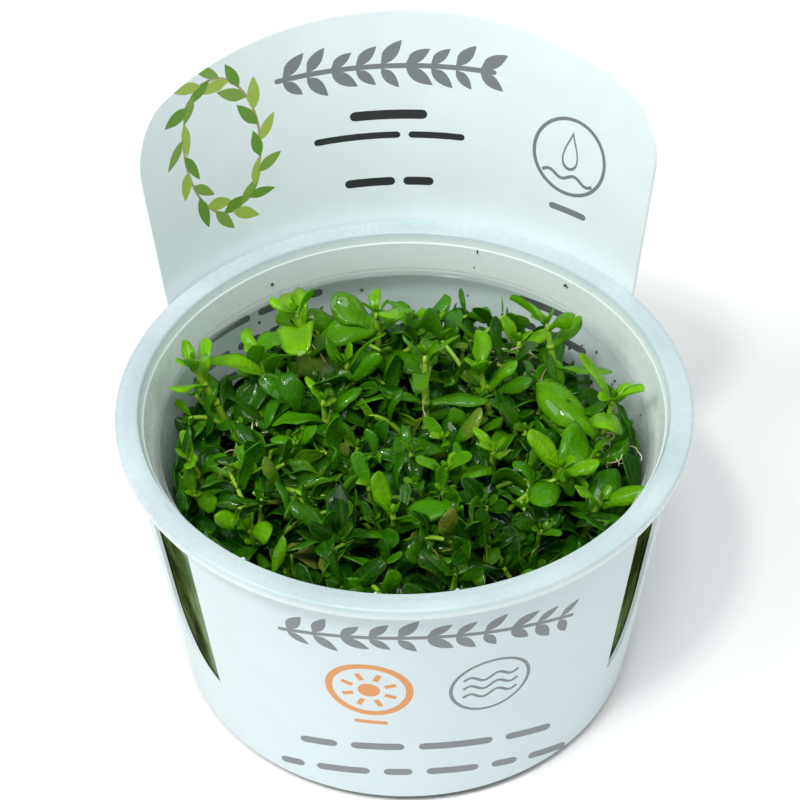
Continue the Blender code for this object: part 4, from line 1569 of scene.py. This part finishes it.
def make_sprigs():
    """Every sprig: main stems first, then lesser shoots, then what clings to the wall and the stems."""
    sprigs = sprig_plan()
    for sprig in sprigs:
        add_main_stem(sprig, draws(MAIN_DRAWS, sprig.number))
    for sprig in sprigs:
        add_deeper_leaves(sprig, draws(DEEPER_DRAWS, sprig.number))
    for index, (tip, sprig) in enumerate(side_tips(sprigs)):
        add_side_shoot(sprig, tip, draws(SIDE_DRAWS, index))
    for index in range(RUNNERS):
        rng = draws(RUNNER_DRAWS, index)
        add_runner(sprigs[rng.randrange(len(sprigs))], rng)
    for index in range(SKIRT_SHOOTS):
        add_skirt_shoot(sprigs, 360.0 * index / SKIRT_SHOOTS, draws(SKIRT_DRAWS, index))
    for slit in (LEFT_SLIT, RIGHT_SLIT):
        add_pressed_leaves(sprigs, slit)
    add_wisps(sprigs)
    materials = [leaf_material(), stem_material(), root_material()]
    for sprig in sprigs:
        add_rootlets(sprig, draws(ROOTLET_DRAWS, sprig.number))
        sprig.make_piece(materials)


def in_front(place):
    """0 behind, up to 1 in the lee of the cup's front wall."""
    return smooth((-place.y - 6.0 * MM) / (22.0 * MM))


def shaded_tone(place, tones, rng):
    """Lightness of a shoot: those in front are painted darker, as the front wall's shade."""
    return max(rng.uniform(*tones) - FRONT_SHADE * in_front(place), 0.0)


def lowered(tip, number):
    """Where a stem ends, under the leaves that rise past it to the height of its plan."""
    sink = STANDOUT_SINK + EXTRA_SINKS.get(number, 0.0)
    if number >= len(STANDOUT_TIPS):
        sink = max(min(tip.z - canopy_height(tip.x, tip.y) - 1.0 * MM, 3.0 * MM), 0.5 * MM)
    return tip - Vector((0.0, 0.0, sink))


def stem_half(depth):
    """Half a main stem's thickness at a depth under its tip."""
    return lerp(STEM_TIP_HALF, STEM_HALF, smooth(depth / (6.0 * MM)))


def add_main_stem(sprig, rng):
    """A sprig's own stem with its bud, its upper leaf pairs and the nodes that they leave from."""
    tip = sprig.course[-1]
    tones = STANDOUT_TONES if sprig.number < len(STANDOUT_TIPS) else CARPET_TONES
    tone = shaded_tone(tip, tones, rng)
    depths = [tip.z - place.z for place in sprig.course]
    halves = [stem_half(depth) for depth in depths]
    add_stem(sprig, sprig.course, halves, tone, [min(depth / (26.0 * MM), 1.0) for depth in depths])
    vigour = sprig.vigour * LEAF_BOOSTS.get(sprig.number, 1.0)
    shoot = Shoot(sprig, sprig.course, sprig.turn, vigour, tone, rng)
    shoot.add_bud()
    shoot.add_pairs(list(zip(NODE_DEPTHS, LEAF_LENGTHS, LEAF_PITCHES))[:sprig.pairs])
    for depth in NODE_DEPTHS[:sprig.pairs]:
        add_node(sprig, depth, tone)


def add_node(sprig, depth, tone):
    """The slight swelling where a leaf pair leaves the stem."""
    place, along = along_from_tip(sprig.course, depth)
    half = stem_half(depth)
    course = [place + along * step * MM for step in (-0.55, -0.25, 0.0, 0.25, 0.55)]
    add_stem(sprig, course, [half * share for share in (0.7, 1.22, 1.36, 1.22, 0.7)], tone, [0.3] * 5)


def add_deeper_leaves(sprig, rng):
    """Older leaf pairs down the stem."""
    depths = NODE_DEPTHS[CARPET_PAIRS:] if sprig.pairs == CARPET_PAIRS else ()
    length = run_length(sprig.course)
    pairs = [(d, 5.6 * MM, 6.0) for d in depths + DEEPER_NODES if d < length - 3.0 * MM]
    turn = sprig.turn + 90.0 * (sprig.pairs % 2)
    Shoot(sprig, sprig.course, turn, sprig.vigour, 0.3, rng).add_pairs(pairs, 0.6)


def add_side_shoot(sprig, tip, rng):
    """A lesser shoot that leaves its sprig's stem below and turns up to its own tip."""
    stem = sprig.course
    reach = min(Vector((p.x - tip.x, p.y - tip.y)).length for p in stem)
    start_height = max(tip.z - reach * rng.uniform(0.7, 1.4) - 4.5 * MM, stem[0].z + 4.0 * MM)
    start = min(stem, key=lambda p: abs(p.z - start_height))
    knee = start.lerp(tip, rng.uniform(0.4, 0.7))
    knee.z = start.z + (tip.z - start.z) * rng.uniform(0.15, 0.75)
    vigour = rng.uniform(0.74, 1.06)
    tone = shaded_tone(tip, SIDE_TONES, rng)
    add_lesser_stem(sprig, bowed(start, knee, tip, 9), vigour, tone, rng, 0.1)


def add_lesser_stem(sprig, course, vigour, tone, rng, age_start):
    """A thin stem with a small bud and the leaf pairs that there is length for."""
    steps = len(course) - 1
    halves = [lerp(0.46, 0.28, i / steps) * MM for i in range(steps + 1)]
    ages = [lerp(0.5, 0.05, i / steps) + age_start * 0.4 for i in range(steps + 1)]
    add_stem(sprig, course, halves, tone, ages, 6)
    length = run_length(course)
    shoot = Shoot(sprig, course, rng.uniform(0.0, 90.0), vigour, tone, rng)
    shoot.add_bud(0.85)
    shoot.add_pairs([pair for pair in LESSER_PAIRS if pair[0] < length - 0.5 * MM], age_start)


def add_runner(sprig, rng):
    """A shoot that wanders sideways just under the canopy and turns up at its end."""
    stem = sprig.course
    start_height = max(RIM_HEIGHT - rng.uniform(13.0, 20.0) * MM, stem[0].z + 3.0 * MM)
    start = min(stem, key=lambda p: abs(p.z - start_height))
    heading = rng.uniform(0.0, 360.0)
    tip = start + on_circle(heading, rng.uniform(8.0, 15.0) * MM, 0.0)
    tip.z = canopy_height(tip.x, tip.y) + rng.uniform(-1.0, 3.2) * MM
    limit = inner_radius(tip.z) - 2.5 * MM
    if math.hypot(tip.x, tip.y) > limit:
        tip.xy = tip.xy.normalized() * limit
    knee = start.lerp(tip, rng.uniform(0.25, 0.6))
    knee.z = tip.z + rng.uniform(-1.0, 1.5) * MM
    course = bowed(start, knee, tip, 12)
    add_lesser_stem(sprig, course, rng.uniform(0.7, 0.95), rng.uniform(0.3, 0.9), rng, 0.0)


def add_skirt_shoot(sprigs, angle, rng):
    """A lower shoot pressed towards the cup's wall, seen through the slits of the card."""
    height = rng.uniform(19.0, 35.0) * MM
    angle += rng.uniform(-3.0, 3.0)
    tip = on_circle(angle, inner_radius(height) - rng.uniform(1.2, 3.0) * MM, height)
    sprig = nearest_sprig(sprigs, tip)
    below = [p for p in sprig.course if p.z < height - 3.0 * MM] or sprig.course[:1]
    start = min(below, key=lambda p: (p - tip).length)
    knee = start.lerp(tip, 0.7)
    knee.z = start.z + (tip.z - start.z) * 0.2
    vigour = rng.uniform(0.85, 1.1)
    add_lesser_stem(sprig, bowed(start, knee, tip, 8), vigour, 0.5, rng, 0.3)


def add_pressed_leaves(sprigs, slit):
    """Leaves pressed flat to the cup's wall behind a slit of the card."""
    rng = random.Random(int(slit[0]))
    for k in range(PRESSED_LEAVES):
        height = lerp(12.0, 37.0, (k + 0.5) / PRESSED_LEAVES) * MM
        angle = slit[0] + math.copysign(rng.uniform(-6.0, 62.0), slit[0])
        root = on_circle(angle, inner_radius(height) - rng.uniform(0.6, 1.8) * MM, height)
        outward = on_circle(angle, 1.0, 0.0)
        level = on_circle(angle + 90.0, 1.0, 0.0)
        heading = math.radians(rng.uniform(-70.0, 250.0))
        aim = level * math.cos(heading) + Vector((0.0, 0.0, 1.0)) * math.sin(heading) - outward * 0.12
        length = rng.uniform(5.0, 7.5) * MM
        shape = leaf_shape(rng, length, rng.uniform(0.4, 0.6), math.radians(rng.uniform(5.0, 35.0)))
        tone = (0.6, rng.uniform(0.25, 0.75), 0.0)
        add_leaf(nearest_sprig(sprigs, root), root, aim.normalized(), outward, shape, tone)


def add_rootlets(sprig, rng):
    """Fine pale roots from the nodes of some sprigs, more of them on the right."""
    chance = 0.25 + 0.4 * smooth(sprig.course[-1].x / (25.0 * MM))
    for depth in (6.0, 9.5, 13.0, 17.0):
        if rng.random() > chance:
            continue
        place, _ = along_from_tip(sprig.course, depth * MM)
        for _ in range(rng.randint(1, 3)):
            heading = rng.uniform(0.0, 2.0 * math.pi)
            slope = rng.uniform(-0.5, 0.5)
            strand = [place]
            for _ in range(rng.randint(5, 9)):
                here = strand[-1] + Vector((math.cos(heading), math.sin(heading), slope)) * 0.8 * MM
                if at_wall(here, 0.6 * MM):
                    break
                strand.append(here)
                heading += rng.uniform(-0.6, 0.6)
                slope -= rng.uniform(0.0, 0.35)
            add_root(sprig, strand, 0.11, rng)


def add_wisps(sprigs):
    """Loose pale roots caught among the upper leaves."""
    rng = random.Random(SEED + 3)
    for x, y, over in WISPS:
        middle = Vector((x * MM, y * MM, canopy_height(x * MM, y * MM) + over * MM))
        sprig = nearest_sprig(sprigs, middle)
        for _ in range(WISP_STRANDS):
            off = Vector((rng.gauss(0.0, 1.0), rng.gauss(0.0, 1.3), rng.gauss(0.0, 0.6)))
            heading = rng.uniform(0.0, 2.0 * math.pi)
            strand = [middle + off * MM]
            for _ in range(rng.randint(4, 8)):
                step = Vector((math.cos(heading), math.sin(heading), rng.gauss(-0.1, 0.4)))
                here = strand[-1] + step * 0.6 * MM
                if at_wall(here, 0.5 * MM):
                    break
                strand.append(here)
                heading += rng.gauss(0.0, 0.6)
            add_root(sprig, strand, 0.13, rng)


def at_wall(place, margin):
    """Whether a place is nearer to the cup's wall than a margin."""
    return math.hypot(place.x, place.y) > inner_radius(place.z) - margin


def add_root(sprig, strand, thickest, rng):
    """A thin root along a strand of points, if it has come far enough."""
    if len(strand) > 2:
        points = np.array(tube_points(strand, [rng.uniform(0.06, thickest) * MM] * len(strand), 4))
        faces = np.array(capped(0, len(strand), 4))
        sprig.add(points, faces, ROOT, np.zeros(points.shape), np.zeros(3))


# Stage


def make_stage():
    """A wide pale floor."""
    bpy.ops.mesh.primitive_plane_add(size=6.0)
    floor = bpy.context.object
    floor.name = "studio_floor"
    look = Look("pale_floor")
    tint = look.mixed(look.noise(3.0, 2.0), (0.92, 0.92, 0.92), (0.94, 0.94, 0.94))
    body = look.shader("Principled", Base_Color=tint, Roughness=0.8, Specular_IOR_Level=0.1)
    floor.data.materials.append(look.done(body))


def add_light(name, place, size, power, colour):
    """A square softbox aimed at the cup."""
    light = bpy.data.lights.new(name, "AREA")
    light.shape = "SQUARE"
    light.size = size
    light.energy = power
    light.color = colour
    lamp = bpy.data.objects.new(name, light)
    lamp.location = place
    lamp.rotation_mode = "QUATERNION"
    lamp.rotation_quaternion = (LIGHT_TARGET - Vector(place)).to_track_quat("-Z", "Y")
    bpy.context.scene.collection.objects.link(lamp)


def make_lights():
    """The softboxes, and a dim pale sky."""
    for light in LIGHTS:
        add_light(*light)
    world = bpy.data.worlds.new("studio")
    bpy.context.scene.world = world
    world.use_nodes = True
    back = world.node_tree.nodes["Background"]
    back.inputs["Color"].default_value = (0.96, 0.985, 1.0, 1.0)
    back.inputs["Strength"].default_value = 0.22


def make_camera():
    """A camera that looks at its target from the front and above, rolled a little."""
    el = math.radians(CAMERA_ELEVATION)
    roll = math.radians(CAMERA_ROLL)
    ahead = Vector((0.0, math.cos(el), -math.sin(el)))
    level = Vector((1.0, 0.0, 0.0))
    upright = Vector((0.0, math.sin(el), math.cos(el)))
    right = level * math.cos(roll) + upright * math.sin(roll)
    up = upright * math.cos(roll) - level * math.sin(roll)
    data = bpy.data.cameras.new("camera")
    data.lens = CAMERA_LENS
    data.sensor_width = CAMERA_SENSOR
    data.clip_start = 0.01
    data.clip_end = 20.0
    camera = bpy.data.objects.new("camera", data)
    place = CAMERA_TARGET - ahead * CAMERA_DISTANCE
    turned = Matrix((right, up, -ahead)).transposed().to_4x4()
    camera.matrix_world = Matrix.Translation(place) @ turned
    bpy.context.scene.collection.objects.link(camera)
    bpy.context.scene.camera = camera


def main():
    bpy.context.scene.view_settings.view_transform = "Standard"
    make_camera()
    make_lights()
    make_stage()
    make_cup()
    make_sleeve()
    make_tangle()
    make_sprigs()


main()
